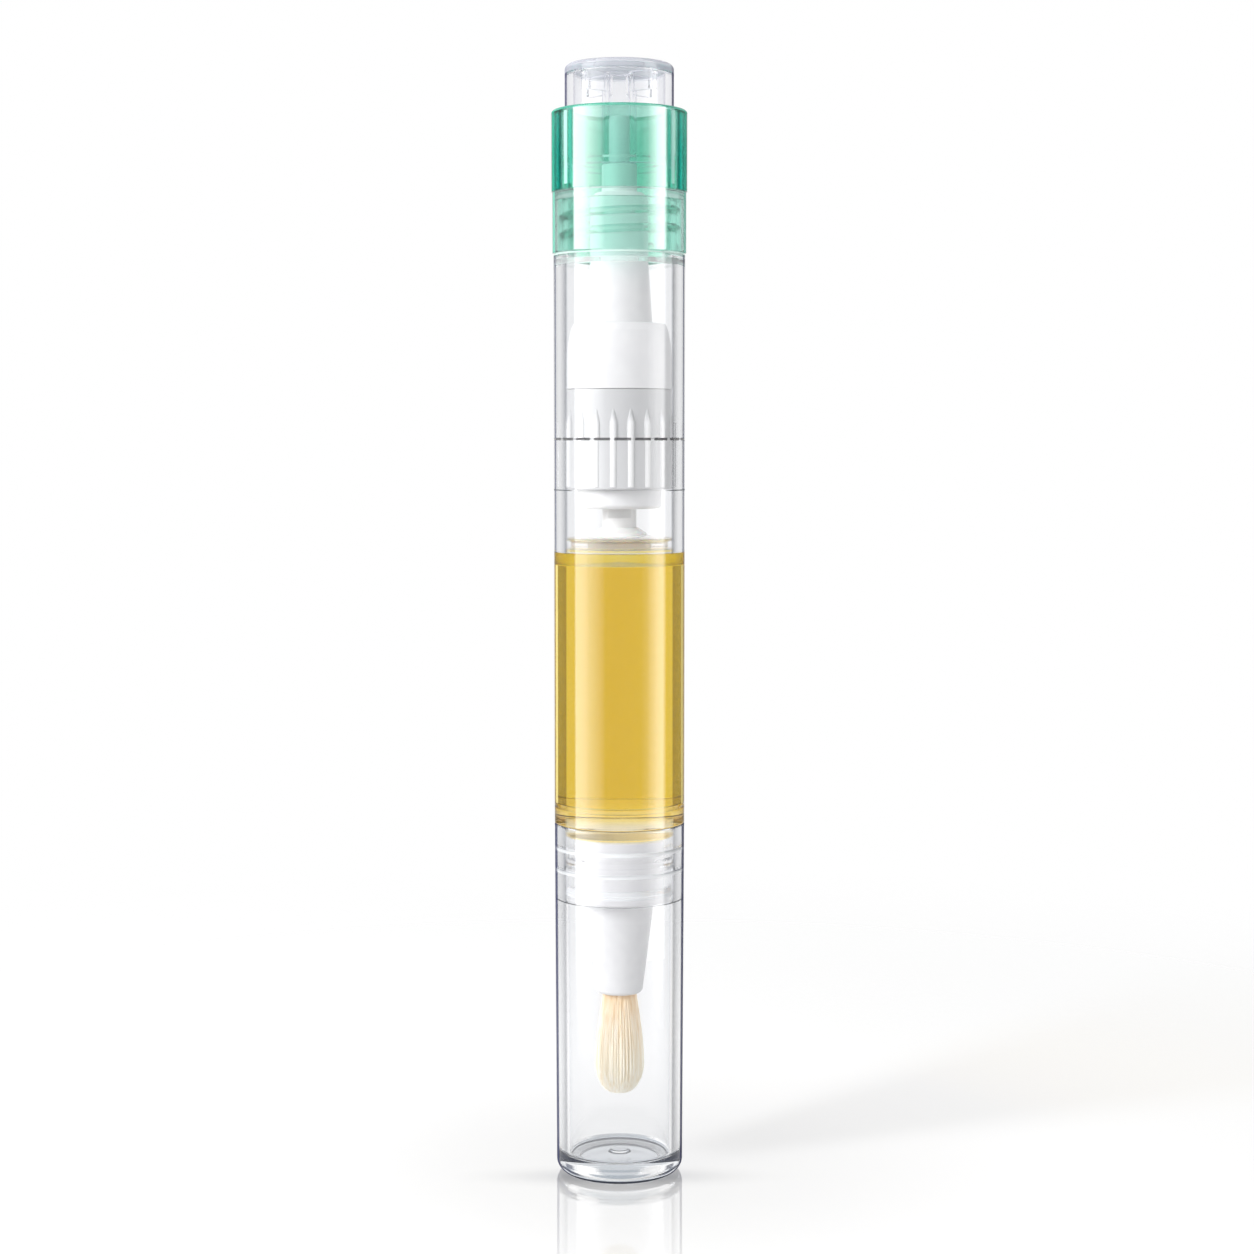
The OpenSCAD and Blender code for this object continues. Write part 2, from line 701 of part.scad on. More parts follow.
// Ribbed coupling: joins both barrels, floors the mechanism and holds nut, ring and housing
module ribbed_coupling() {
    socket = coupling_r - coupling_wall;
    z_socket = z_housing - spigot_len - seat;
    rib_top_r = rib_r - rib_h;
    color(white_plastic)
        union() {
            turned([
                [nut_shank_r + fit, z_coupling],
                [coupling_r - coupling_bevel, z_coupling],
                [coupling_r, z_coupling + coupling_bevel],
                [coupling_r, z_housing],
                [socket, z_housing],
                [socket, z_socket],
                [cam_bore_r, z_socket],
                [cam_bore_r, z_lower_ring],
                [foot_r, z_lower_ring],
                [foot_r, z_spring],
                [nut_shank_r + fit, z_spring]
            ]);
            for (i = [0:rib_count - 1])
                rotate([0, 0, 360 * i / rib_count + rib_turn - 90])
                    translate([rib_crest_r - rib_r, 0, z_coupling + coupling_bevel])
                        turned([
                            [0, 0],
                            [rib_r, 0],
                            [rib_r, rib_len - rib_taper],
                            [rib_top_r, rib_len],
                            [0, rib_len]
                        ]);
        }
}

// One gap of a crown: a ramp that a radial cutter leaves between two teeth
module crown_gap_cutter(r_in, r_out) {
    chord = 2 * r_in * sin(180 / teeth);
    gap_w = chord * gap_width_share;
    rotate([90, 0, 0])
        rotate([0, 90, 0])
            translate([0, 0, r_in - cut])
                linear_extrude(r_out - r_in + 2 * cut)
                    polygon([[-gap_w / 2, cut], [-gap_w / 2, 0], [gap_w / 2, -tooth_h], [gap_w / 2, cut]]);
}

// Share of a tooth's pitch that its ramp takes at the crown's inner edge
gap_width_share = 0.86;

// Gaps of a whole crown that faces up at height z
module crown_cuts(r_in, r_out, z) {
    for (i = [0:teeth - 1])
        rotate([0, 0, 360 * i / teeth])
            translate([0, 0, z])
                crown_gap_cutter(r_in, r_out);
}

// Cam ring with its crown facing up, standing on its flat base at height zero
module cam_ring() {
    difference() {
        tube(ring_r, ring_bore_r, 0, ring_h);
        crown_cuts(ring_bore_r, ring_r, ring_h);
    }
}

module cam_ring_lower() {
    color([0.9, 0.91, 0.93])
        translate([0, 0, z_lower_ring])
            cam_ring();
}

module cam_ring_upper() {
    color([0.9, 0.91, 0.93])
        translate([0, 0, z_upper_ring + ring_h])
            rotate([180, 0, 0])
                cam_ring();
}

// Rotor: crowns on both faces, a hub tube below and a bore keyed to the screw's flats
module rotor() {
    crown_in = ring_bore_r - air / 2;
    color([0.8, 0.84, 0.88])
        difference() {
            union() {
                tube(rotor_r, 0, z_rotor, z_rotor + rotor_h);
                tube(hub_r, 0, z_hub, z_rotor + seat);
            }
            translate([0, 0, z_hub - cut])
                keyed_bar(screw_hole_r, screw_flats + 2 * run, z_rotor + rotor_h - z_hub + 2 * cut);
            difference() {
                union() {
                    crown_cuts(crown_in, rotor_r, z_rotor + rotor_h);
                    translate([0, 0, 2 * z_rotor])
                        rotate([180, 0, 0])
                            crown_cuts(crown_in, rotor_r, z_rotor);
                }
                tube(crown_in, 0, z_rotor - cut, z_rotor + rotor_h + cut);
            }
        }
}

// Points along the spring's wire: a straight end, the turns and a straight end
spring_rings = 8;
spring_low = z_spring + wire_d / 2 + seat;
spring_high = z_rotor - wire_d / 2 - seat;
// Middle of the room between hub and bore, for a wire that runs straight from ring to ring
spring_r = (hub_r + foot_r) / (1 + cos(180 / spring_rings));
spring_steps = spring_rings * spring_turns;
function spring_at(i) =
    let (a = 360 * i / spring_rings)
    [spring_r * cos(a), spring_r * sin(a), lerp(spring_low, spring_high, i / spring_steps)];
spring_path = concat(
    [spring_at(0) - [0, wire_d, 0]],
    [for (i = [0:spring_steps]) spring_at(i)],
    [spring_at(spring_steps) + [0, wire_d, 0]]
);

// Least gap of the wire to itself, from points at least half a turn apart
spring_gap = min([for (i = [1:spring_steps], j = [1:spring_steps])
    if (j - i >= spring_rings / 2) norm(spring_path[i] - spring_path[j]) - wire_d]);
echo(spring_gap = spring_gap);

// Ring of the wire's six sides at a point of its path
function wire_ring(path, i) =
    let (
        last = len(path) - 1,
        ahead = path[min(i + 1, last)] - path[max(i - 1, 0)],
        along = ahead / norm(ahead),
        side = cross(along, [0, 0, 1]) / norm(cross(along, [0, 0, 1])),
        up = cross(side, along)
    )
    [for (k = [0:5]) path[i] + wire_d / 2 * (cos(60 * k) * side + sin(60 * k) * up)];

// Return spring: one unbroken wire between the coupling's floor and the rotor
module return_spring() {
    last = len(spring_path) - 1;
    color([0.75, 0.76, 0.78])
        polyhedron(
            points = [for (i = [0:last]) each wire_ring(spring_path, i)],
            faces = concat(
                [[5, 4, 3], [5, 3, 2], [5, 2, 1], [5, 1, 0]],
                [for (i = [0:last - 1], k = [0:5]) let (n = (k + 1) % 6)
                    [6 * i + k, 6 * i + n, 6 * i + 6 + k]],
                [for (i = [0:last - 1], k = [0:5]) let (n = (k + 1) % 6)
                    [6 * i + n, 6 * i + 6 + n, 6 * i + 6 + k]],
                [for (k = [1:4]) [6 * last, 6 * last + k, 6 * last + k + 1]]
            )
        );
}

// Ratchet housing: domed cup over the rotor, with a spigot in the coupling below
module ratchet_housing() {
    z_dome = z_housing + housing_straight;
    dome_h = z_housing_top - housing_edge - z_dome;
    dome_r = (dome_h * dome_h + housing_crown * housing_crown) / (2 * housing_crown);
    dome_end = asin(dome_h / dome_r);
    top_r = housing_r - housing_crown;
    color(white_plastic)
        turned(concat(
            [
                [cam_bore_r, z_housing - spigot_len],
                [spigot_r, z_housing - spigot_len],
                [spigot_r, z_housing + seat],
                [housing_r, z_housing + seat]
            ],
            arc(housing_r - dome_r, z_dome, dome_r, 0, dome_end, 8),
            [
                [top_r - housing_edge, z_housing_top],
                [mouth_r, z_housing_top],
                [mouth_r, z_housing_top - housing_roof],
                [cam_bore_r - ring_ledge, z_housing_top - housing_roof],
                [cam_bore_r - ring_ledge, z_upper_ring + ring_h + seat],
                [cam_bore_r, z_upper_ring + ring_h + seat]
            ]
        ));
}

// Pusher: sleeve over the screw with a foot on the rotor, a stop flange and the button's pin
module pusher() {
    sleeve_r = lerp(sleeve_low_r, pusher_bore_r, sleeve_taper_share);
    z_taper_top = z_housing_top + sleeve_taper - housing_roof;
    sleeve_bevel = (sleeve_r - stem_r) / 2;
    color(white_plastic)
        turned(concat(
            [
                [pusher_bore_r, z_pusher],
                [foot_r, z_pusher],
                [foot_r, z_pusher_stop],
                [stop_r, z_pusher_stop],
                [stop_r, z_pusher_stop + stop_h],
                [sleeve_low_r, z_pusher_stop + stop_h],
                [sleeve_r, z_taper_top],
                [sleeve_r, z_stem - sleeve_bevel],
                [sleeve_r - sleeve_bevel, z_stem],
                [stem_r, z_stem],
                [stem_r, z_pin],
                [pin_d / 2, z_pin]
            ],
            arc(pin_d / 2 - pin_r, z_pin + pin_h - pin_r, pin_r, 0, 90, 5),
            [
                [0, z_pin + pin_h],
                [0, z_pusher_bore],
                [pusher_bore_r, z_pusher_bore]
            ]
        ));
}

// Barrel over the mechanism, with the neck that the collar screws on
module mechanism_barrel() {
    z_cone = z_upper_top - thread_cone_h - thread_cone_h;
    color(clear_plastic)
        turned([
            [bore_r, z_upper],
            [barrel_r - barrel_edge, z_upper],
            [barrel_r, z_upper + barrel_edge],
            [barrel_r, z_upper_top - barrel_edge / 2],
            [barrel_r - barrel_edge / 2, z_upper_top],
            [thread_root_r, z_upper_top],
            [thread_root_r, z_thread_top],
            [thread_bore_r, z_thread_top],
            [thread_bore_r, z_cone + thread_cone_h],
            [bore_r, z_cone]
        ]);
}

// Tail collar: head that guides the button, thin skirt over the thread and a plug spigot
module tail_collar() {
    z_web = z_head - collar_web;
    z_chamber_top = z_collar_top - lip_guide_h;
    chamber_r = bead_r + run;
    z_plug = z_skirt - plug_spigot_len;
    lead_in = plug_spigot_wall / 3;
    color(green_plastic)
        turned(concat(
            [
                [plug_spigot_bore_r, z_plug],
                [plug_spigot_r - lead_in, z_plug],
                [plug_spigot_r, z_plug + lead_in],
                [plug_spigot_r, z_web],
                [skirt_bore_r, z_web],
                [skirt_bore_r, z_skirt],
                [skirt_r, z_skirt],
                [skirt_r, z_head],
                [collar_r, z_head]
            ],
            arc(collar_r - collar_edge, z_collar_top - collar_edge, collar_edge, 0, 90, 4),
            [
                [guide_r + collar_edge / 2, z_collar_top],
                [guide_r, z_collar_top - collar_edge / 2],
                [guide_r, z_chamber_top],
                [chamber_r, z_chamber_top],
                [chamber_r, z_head],
                [plug_spigot_bore_r, z_head]
            ]
        ));
}

// Push button: clear cup with a retaining bead and a ribbed boss on the pusher's pin
module push_button() {
    z_roof = z_button_top - button_top;
    inner_r = button_r - button_wall;
    color(clear_plastic)
        union() {
            turned(concat(
                [
                    [inner_r, z_button],
                    [bead_r, z_button],
                    [bead_r, z_button + button_bead_h - button_bead],
                    [button_r, z_button + button_bead_h]
                ],
                arc(button_r - button_edge, z_button_top - button_edge, button_edge, 0, 90, 5),
                [
                    [0, z_button_top],
                    [0, z_roof],
                    [boss_bore_r, z_roof],
                    [boss_bore_r, z_pin + seat],
                    [boss_r, z_pin + seat],
                    [boss_r, z_roof],
                    [inner_r, z_roof]
                ]
            ));
            for (a = [45:90:315])
                rotate([0, 0, a])
                    translate([boss_r - fit, -button_rib_t / 2, z_roof - button_rib_h])
                        cube([inner_r - boss_r + 2 * fit, button_rib_t, button_rib_h + fit]);
        }
}

cap_shell();
reservoir_barrel();
oil_fill();
brush_holder();
bristles();
feed_tube();
piston();
lead_screw();
lead_nut();
ribbed_coupling();
cam_ring_lower();
rotor();
cam_ring_upper();
return_spring();
ratchet_housing();
pusher();
mechanism_barrel();
tail_collar();
push_button();
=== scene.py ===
# %% [markdown]
# # A click pen for nail oil
# The pen is almost all clear plastic with things inside it, so most of this lesson is about lathed
# shells and about what light does in them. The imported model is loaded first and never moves. Each
# visible piece is then made again with finer edges, in the same place and at the same size.

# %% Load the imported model
import math
import random

import bmesh
import bpy
from mathutils import Matrix, Vector


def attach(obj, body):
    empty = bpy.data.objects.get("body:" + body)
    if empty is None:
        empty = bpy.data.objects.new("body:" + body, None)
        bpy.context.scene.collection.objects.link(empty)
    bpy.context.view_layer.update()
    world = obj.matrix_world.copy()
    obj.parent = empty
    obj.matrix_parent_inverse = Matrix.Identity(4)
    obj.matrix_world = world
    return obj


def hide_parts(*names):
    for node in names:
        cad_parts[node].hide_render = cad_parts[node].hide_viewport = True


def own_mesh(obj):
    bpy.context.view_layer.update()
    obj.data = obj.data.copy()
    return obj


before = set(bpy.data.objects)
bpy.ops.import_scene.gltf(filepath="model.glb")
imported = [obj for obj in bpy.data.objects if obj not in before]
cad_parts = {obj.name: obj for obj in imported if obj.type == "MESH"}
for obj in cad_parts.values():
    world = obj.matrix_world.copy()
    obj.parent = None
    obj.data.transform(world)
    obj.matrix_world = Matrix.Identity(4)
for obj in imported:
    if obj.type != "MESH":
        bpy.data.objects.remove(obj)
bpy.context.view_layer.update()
MM = 0.001

# %% [markdown]
# ## Camera
# The photograph looks slightly down at the pen, from two thirds of its height and through a long
# lens. The tilt and the distance were found from how flat the rings of the barrel look at each
# height.

# %% Camera
camera = bpy.data.objects.new("photo_camera", bpy.data.cameras.new("photo_camera"))
bpy.context.scene.collection.objects.link(camera)
camera.location = (0.87 * MM, -273 * MM, 85.1 * MM)
camera.rotation_euler = (math.radians(85.5), 0, 0)
camera.data.lens = 68.24
camera.data.sensor_width = 36
camera.data.clip_start = 0.01
bpy.context.scene.camera = camera
print("camera", [round(c, 4) for c in camera.location])

# %% [markdown]
# ## One way to make most pieces
# Barrels, cups, sleeves and cones are all solids of revolution, as if turned on a lathe. One could
# stack cylinders, but a moulded edge is never sharp, and in clear plastic each edge shows as a
# bright line. So a profile is drawn as a closed wire, its corners are rounded with a vertex bevel,
# and the wire is spun once round the pen's axis. A corner is (radius, height, rounding).
#
# Smooth shading would let a small rounding bend the light of the whole wall beside it. Each long
# side therefore gets a point close to each of its ends, and between the two the wall stays even.

# %% Draw a profile
HOLD = 0.03
LONG_SIDE = 0.5
WIDE_ROUNDING = 0.6


def wire_profile(bm, corners):
    """A closed wire in the XZ plane from corners in millimetres, rounded where they say so."""
    verts = [bm.verts.new((c[0] * MM, 0, c[1] * MM)) for c in corners]
    for a, b in zip(verts, verts[1:] + verts[:1]):
        bm.edges.new((a, b))
    roundings = {}
    for v, c in zip(verts, corners):
        if len(c) > 2:
            roundings.setdefault(c[2], []).append(v)
    for size, rounded in roundings.items():
        bmesh.ops.bevel(
            bm, geom=rounded, offset=size * MM, offset_type="OFFSET",
            segments=3 if size < WIDE_ROUNDING else 8, profile=0.5, affect="VERTICES", material=-1,
        )
    for edge in [e for e in bm.edges if e.calc_length() > LONG_SIDE * MM]:
        start, end = edge.verts
        fresh, _ = bmesh.utils.edge_split(edge, start, HOLD * MM / edge.calc_length())
        rest = edge if end in edge.verts else fresh
        bmesh.utils.edge_split(rest, end, HOLD * MM / rest.calc_length())


print("each side longer than", LONG_SIDE, "mm is held", HOLD, "mm from its ends")

# %% [markdown]
# The spin itself takes one call. The same call with a rise per step draws a screw thread, which
# is used further down. Every piece is finished in the same way: normals outwards, smooth shading
# with sharp edges kept, one material, and the name of the body that it rides on.

# %% Turn a profile round the axis
SMALLEST_GAP = 0.0005
FULL_TURN_STEPS = 192


def spun(bm, steps=FULL_TURN_STEPS, angle=2 * math.pi, rise=0.0):
    """Spins all of a wire round the axis. A full turn closes on itself; a rise makes a helix."""
    full = rise == 0
    bmesh.ops.spin(
        bm, geom=bm.verts[:] + bm.edges[:], cent=(0, 0, 0), axis=(0, 0, 1), angle=angle,
        steps=steps, dvec=(0, 0, rise * MM / steps), use_merge=full, use_duplicate=False,
    )
    bmesh.ops.remove_doubles(bm, verts=bm.verts[:], dist=SMALLEST_GAP * MM)


def finished(name, bm, body, material, replaces=(), sharp_deg=40):
    """Makes an object of a bmesh, shades it smooth and says what it rides on and stands for."""
    bmesh.ops.recalc_face_normals(bm, faces=bm.faces[:])
    mesh = bpy.data.meshes.new(name)
    bm.to_mesh(mesh)
    bm.free()
    mesh.polygons.foreach_set("use_smooth", [True] * len(mesh.polygons))
    mesh.set_sharp_from_angle(angle=math.radians(sharp_deg))
    piece = bpy.data.objects.new(name, mesh)
    bpy.context.scene.collection.objects.link(piece)
    piece.data.materials.append(material)
    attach(piece, body)
    if replaces:
        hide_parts(*replaces)
    print(name, len(mesh.polygons), "faces")
    return piece


def lathed(name, corners, body, material, replaces=()):
    """A solid of revolution from one closed profile."""
    bm = bmesh.new()
    wire_profile(bm, corners)
    spun(bm)
    return finished(name, bm, body, material, replaces)


print("a full turn has", FULL_TURN_STEPS, "steps")

# %% [markdown]
# ## Colour by angle, height and radius
# A clear wall shows by its edges, so its colour has to change with how it faces the eye and from
# one height of a piece to the next. A painted texture would need an unwrapped mesh. A few nodes
# on Object coordinates do it for any lathed piece, so each small group of nodes is a function:
# a ramp, a step at a height, a step at a radius, arithmetic, and a mix of colours or shaders.

# %% Ramps, steps and mixes
def fresh_material(name):
    """A new material, with its nodes and links."""
    material = bpy.data.materials.new(name)
    material.use_nodes = True
    return material, material.node_tree.nodes, material.node_tree.links


def ramp_of(nodes, links, factor, stops):
    """A colour ramp from (place, colour) stops."""
    ramp = nodes.new("ShaderNodeValToRGB")
    for i, (place, colour) in enumerate(stops):
        stop = ramp.color_ramp.elements[i] if i < 2 else ramp.color_ramp.elements.new(place)
        stop.position = place
        stop.color = (*colour, 1)
    links.new(factor, ramp.inputs["Fac"])
    return ramp.outputs["Color"]


def step_between(nodes, links, value, low, high):
    """0 below one value and 1 above the other."""
    step = nodes.new("ShaderNodeMapRange")
    step.inputs["From Min"].default_value = low
    step.inputs["From Max"].default_value = high
    links.new(value, step.inputs["Value"])
    return step.outputs["Result"]


def object_axis(nodes, links, axis):
    """One coordinate of the place on the piece."""
    place = nodes.new("ShaderNodeTexCoord")
    split = nodes.new("ShaderNodeSeparateXYZ")
    links.new(place.outputs["Object"], split.inputs["Vector"])
    return split.outputs[axis]


def height_step(nodes, links, low, high):
    """0 below one height and 1 above the other, in millimetres on the piece itself."""
    return step_between(nodes, links, object_axis(nodes, links, "Z"), low * MM, high * MM)


def radius_step(nodes, links, low, high):
    """0 nearer to the axis than one radius and 1 beyond the other."""
    place = nodes.new("ShaderNodeTexCoord")
    flat = nodes.new("ShaderNodeMapping")
    flat.inputs["Scale"].default_value = (1, 1, 0)
    links.new(place.outputs["Object"], flat.inputs["Vector"])
    reach = nodes.new("ShaderNodeVectorMath")
    reach.operation = "LENGTH"
    links.new(flat.outputs["Vector"], reach.inputs[0])
    return step_between(nodes, links, reach.outputs["Value"], low * MM, high * MM)


def arithmetic(nodes, links, operation, first, second=None, clamp=False):
    """One step of arithmetic; each value is a socket or a number."""
    step = nodes.new("ShaderNodeMath")
    step.operation = operation
    step.use_clamp = clamp
    for socket, value in zip(step.inputs, (first, second)):
        if isinstance(value, (int, float)):
            socket.default_value = value
        elif value is not None:
            links.new(value, socket)
    return step.outputs["Value"]


def mixed(nodes, links, factor, below, above):
    """One colour where the factor is 0 and another where it is 1."""
    mix = nodes.new("ShaderNodeMix")
    mix.data_type = "RGBA"
    links.new(factor, mix.inputs[0])
    links.new(below, mix.inputs[6])
    links.new(above, mix.inputs[7])
    return mix.outputs[2]


def mixed_shader(nodes, links, factor, below, above):
    """One shader where the factor is 0 and another where it is 1."""
    mix = nodes.new("ShaderNodeMixShader")
    links.new(factor, mix.inputs["Fac"])
    links.new(below, mix.inputs[1])
    links.new(above, mix.inputs[2])
    return mix.outputs["Shader"]


print("node helpers ready; lengths are in millimetres,", MM, "m each")

# %% [markdown]
# ## How far round the tube the wall lies
# Layer Weight's Facing is 0 face on and 1 at the rim. On an upright tube it also grows when the
# eye looks down, so a line drawn with it would spread in a view from above. A second Layer Weight
# reads the same view against an upright normal. From it comes how level the view is, and that
# share is divided out. What is left only says how far round the tube the wall lies.

# %% Facing round a tube
STEEPEST_VIEW = 0.05


def facing_round(nodes, links):
    """0 where an upright wall faces the eye and 1 at its rim, from whatever height it is seen."""
    weight = nodes.new("ShaderNodeLayerWeight")
    weight.inputs["Blend"].default_value = 0.5
    upright = nodes.new("ShaderNodeLayerWeight")
    upright.inputs["Blend"].default_value = 0.5
    axis = nodes.new("ShaderNodeCombineXYZ")
    axis.inputs["Z"].default_value = 1.0
    links.new(axis.outputs["Vector"], upright.inputs["Normal"])
    steep = arithmetic(nodes, links, "SUBTRACT", 1.0, upright.outputs["Facing"])
    squared = arithmetic(nodes, links, "MULTIPLY", steep, steep)
    level = arithmetic(nodes, links, "SUBTRACT", 1.0, squared)
    level = arithmetic(nodes, links, "SQRT", level)
    level = arithmetic(nodes, links, "MAXIMUM", level, STEEPEST_VIEW)
    toward = arithmetic(nodes, links, "SUBTRACT", 1.0, weight.outputs["Facing"])
    toward = arithmetic(nodes, links, "DIVIDE", toward, level)
    away = arithmetic(nodes, links, "SUBTRACT", 1.0, toward)
    return arithmetic(nodes, links, "MAXIMUM", away, 0.0)


print("views count as", round(math.degrees(math.acos(STEEPEST_VIEW)), 1), "degrees steep at most")

# %% [markdown]
# ## A ring that ribs interrupt
# Where white ribs press on the clear wall from inside, the dark joint line is broken. Short arcs
# could be modelled one by one. Instead a radial gradient gives the angle round the axis, and the
# fraction of its multiple repeats once per rib, so one ring of colour gets evenly spaced gaps.

# %% Gaps round the axis
RIBS, FIRST_RIB, RIB_GAP = 20, -6.0, 0.2


def dash_gate(nodes, links, count, first_deg, gap):
    """1, and 0 in gaps that repeat evenly round the axis; a gap is its share of the pitch."""
    place = nodes.new("ShaderNodeTexCoord")
    turn = nodes.new("ShaderNodeTexGradient")
    turn.gradient_type = "RADIAL"
    links.new(place.outputs["Object"], turn.inputs["Vector"])
    phase = 0.5 - (first_deg / 360 + 0.5) * count
    steps = arithmetic(nodes, links, "MULTIPLY", turn.outputs["Fac"], count)
    part = arithmetic(nodes, links, "ADD", steps, phase % 1.0)
    part = arithmetic(nodes, links, "FRACT", part)
    off = arithmetic(nodes, links, "SUBTRACT", part, 0.5)
    off = arithmetic(nodes, links, "ABSOLUTE", off)
    return arithmetic(nodes, links, "GREATER_THAN", off, gap / 2)


print(RIBS, "gaps of", round(RIB_GAP * 360 / RIBS, 1), "degrees")

# %% [markdown]
# ## Clear plastics
# Polished styrene bends light and shows its edges as thin dark lines, because there the eye looks
# along the wall through a lot of it. A Principled shader with full transmission does the bending,
# and a ramp over the facing tints it with painted shade at the edges, with other ramps in zones of
# height where something else lies behind. Bending alone leaves a thin wall too pale in a white
# room.
# So lines lie over the plastic: between two heights, some share of a plain colour, by its own ramp
# over the facing. Most are painted reflections and painted shade: the walls' dark outlines and the
# pale rings of the snap. The joint line among them is the barrels' own dark joint.
#
# Lamps would cast black shadows through such a material, so shadow rays pass as if it were thin
# tinted film.

# %% A material for what light goes through
LINE_SOFT = 0.02
INNER_SOFT = 0.05
LEVEL_FROM = 0.99


def see_through(
    name, stops, ior=1.49, film=(0.98, 0.98, 0.985), coat=0.0, zones=(), lines=(), level_pass=False,
):
    """Clear or tinted plastic. Stops are (facing, colour), from face on (0) to edge on (1).
    Zones are (low, high, stops): above the step from low to high, the other stops hold.
    Lines are (colour, low, high, shares, inner, then what dash_gate takes): between two heights
    and outside the inner radius some share of a plain colour lies over the plastic, mostly as
    painted reflection and painted shade.
    Level faces can be let pass light unbent, where one piece of liquid goes on in another."""
    material, nodes, links = fresh_material(name)
    shader = nodes["Principled BSDF"]
    shader.inputs["Transmission Weight"].default_value = 1.0
    shader.inputs["Roughness"].default_value = 0.0
    shader.inputs["IOR"].default_value = ior
    shader.inputs["Coat Weight"].default_value = coat
    shader.inputs["Coat IOR"].default_value = 1.7
    facing = facing_round(nodes, links)
    # The ramp over the facing paints shade at the wall's edges, and each zone's ramp does the same.
    colour = ramp_of(nodes, links, facing, stops)
    for low, high, other in zones:
        above = ramp_of(nodes, links, facing, other)
        colour = mixed(nodes, links, height_step(nodes, links, low, high), colour, above)
    links.new(colour, shader.inputs["Base Color"])
    surface = shader.outputs["BSDF"]
    for plain, low, high, shares, inner, *dashes in lines:
        share = ramp_of(nodes, links, facing, [(at, (part, part, part)) for at, part in shares])
        rise = height_step(nodes, links, low - LINE_SOFT, low + LINE_SOFT)
        share = arithmetic(nodes, links, "MULTIPLY", share, rise, clamp=True)
        fall = height_step(nodes, links, high - LINE_SOFT, high + LINE_SOFT)
        share = arithmetic(nodes, links, "SUBTRACT", share, fall, clamp=True)
        if inner:
            outside = radius_step(nodes, links, inner - INNER_SOFT, inner)
            share = arithmetic(nodes, links, "MULTIPLY", share, outside)
        if dashes:
            share = arithmetic(nodes, links, "MULTIPLY", share, dash_gate(nodes, links, *dashes))
        # The line's plain colour lies over the plastic as painted reflection or painted shade,
        # except the joint line.
        cover = nodes.new("ShaderNodeBsdfDiffuse")
        cover.inputs["Color"].default_value = (*plain, 1)
        surface = mixed_shader(nodes, links, share, surface, cover.outputs["BSDF"])
    if level_pass:
        geometry = nodes.new("ShaderNodeNewGeometry")
        normal = nodes.new("ShaderNodeSeparateXYZ")
        links.new(geometry.outputs["True Normal"], normal.inputs["Vector"])
        upright = arithmetic(nodes, links, "ABSOLUTE", normal.outputs["Z"])
        level = arithmetic(nodes, links, "GREATER_THAN", upright, LEVEL_FROM)
        unbent = nodes.new("ShaderNodeBsdfTransparent")
        surface = mixed_shader(nodes, links, level, surface, unbent.outputs["BSDF"])
    path = nodes.new("ShaderNodeLightPath")
    thin = nodes.new("ShaderNodeBsdfTransparent")
    thin.inputs["Color"].default_value = (*film, 1)
    for ray in ("Is Diffuse Ray", "Is Shadow Ray"):
        surface = mixed_shader(nodes, links, path.outputs[ray], surface, thin.outputs["BSDF"])
    links.new(surface, nodes["Material Output"].inputs["Surface"])
    return material


def even(share):
    """The same share of a line's colour at every facing."""
    return [(0.0, share), (1.0, share)]


def band(start, full, fade, end, share):
    """A share of a line's colour that comes and goes again within a range of the facing."""
    return [(0.0, 0.0), (start, 0.0), (full, share), (fade, share), (end, 0.0), (1.0, 0.0)]


# A bare wall's tint: painted grey towards the rim and a painted dark line near it.
CLEAR = [
    (0.0, (0.965, 0.968, 0.975)), (0.27, (0.96, 0.963, 0.972)), (0.45, (0.90, 0.91, 0.925)),
    (0.60, (0.90, 0.91, 0.925)), (0.70, (0.84, 0.855, 0.88)), (0.77, (0.66, 0.68, 0.73)),
    (0.80, (0.66, 0.68, 0.73)), (0.83, (0.84, 0.855, 0.88)), (1.0, (0.92, 0.93, 0.945)),
]
print("a bare wall's tint has", len(CLEAR), "stops")

# %% [markdown]
# ## Moulded white plastics
# The working parts are matt polypropylene and acetal. They are not pure white, and a mould leaves
# a fine unevenness that only shows in how sharp the highlights are. Noise on Object coordinates
# drives a slight change of tone, of roughness and a very shallow bump.

# %% A material for what light stays on
def moulded(name, dark, light, roughness=(0.32, 0.48), grain=900.0, bump=0.04, subsurface=0.0):
    """Moulded plastic whose tone and polish wander a little."""
    material, nodes, links = fresh_material(name)
    shader = nodes["Principled BSDF"]
    shader.inputs["Subsurface Weight"].default_value = subsurface
    shader.inputs["Subsurface Scale"].default_value = 0.8 * MM
    place = nodes.new("ShaderNodeTexCoord")
    noise = nodes.new("ShaderNodeTexNoise")
    noise.inputs["Scale"].default_value = grain
    noise.inputs["Detail"].default_value = 3.0
    links.new(place.outputs["Object"], noise.inputs["Vector"])
    tone = ramp_of(nodes, links, noise.outputs["Fac"], [(0.3, dark), (0.7, light)])
    links.new(tone, shader.inputs["Base Color"])
    polish = nodes.new("ShaderNodeMapRange")
    polish.inputs["To Min"].default_value = roughness[0]
    polish.inputs["To Max"].default_value = roughness[1]
    links.new(noise.outputs["Fac"], polish.inputs["Value"])
    links.new(polish.outputs["Result"], shader.inputs["Roughness"])
    relief = nodes.new("ShaderNodeBump")
    relief.inputs["Strength"].default_value = bump
    relief.inputs["Distance"].default_value = 0.02 * MM
    links.new(noise.outputs["Fac"], relief.inputs["Height"])
    links.new(relief.outputs["Normal"], shader.inputs["Normal"])
    return material


white_plastic = moulded("moulded_white_polypropylene", (0.80, 0.80, 0.805), (0.84, 0.84, 0.84))
print("white plastic:", white_plastic.name)
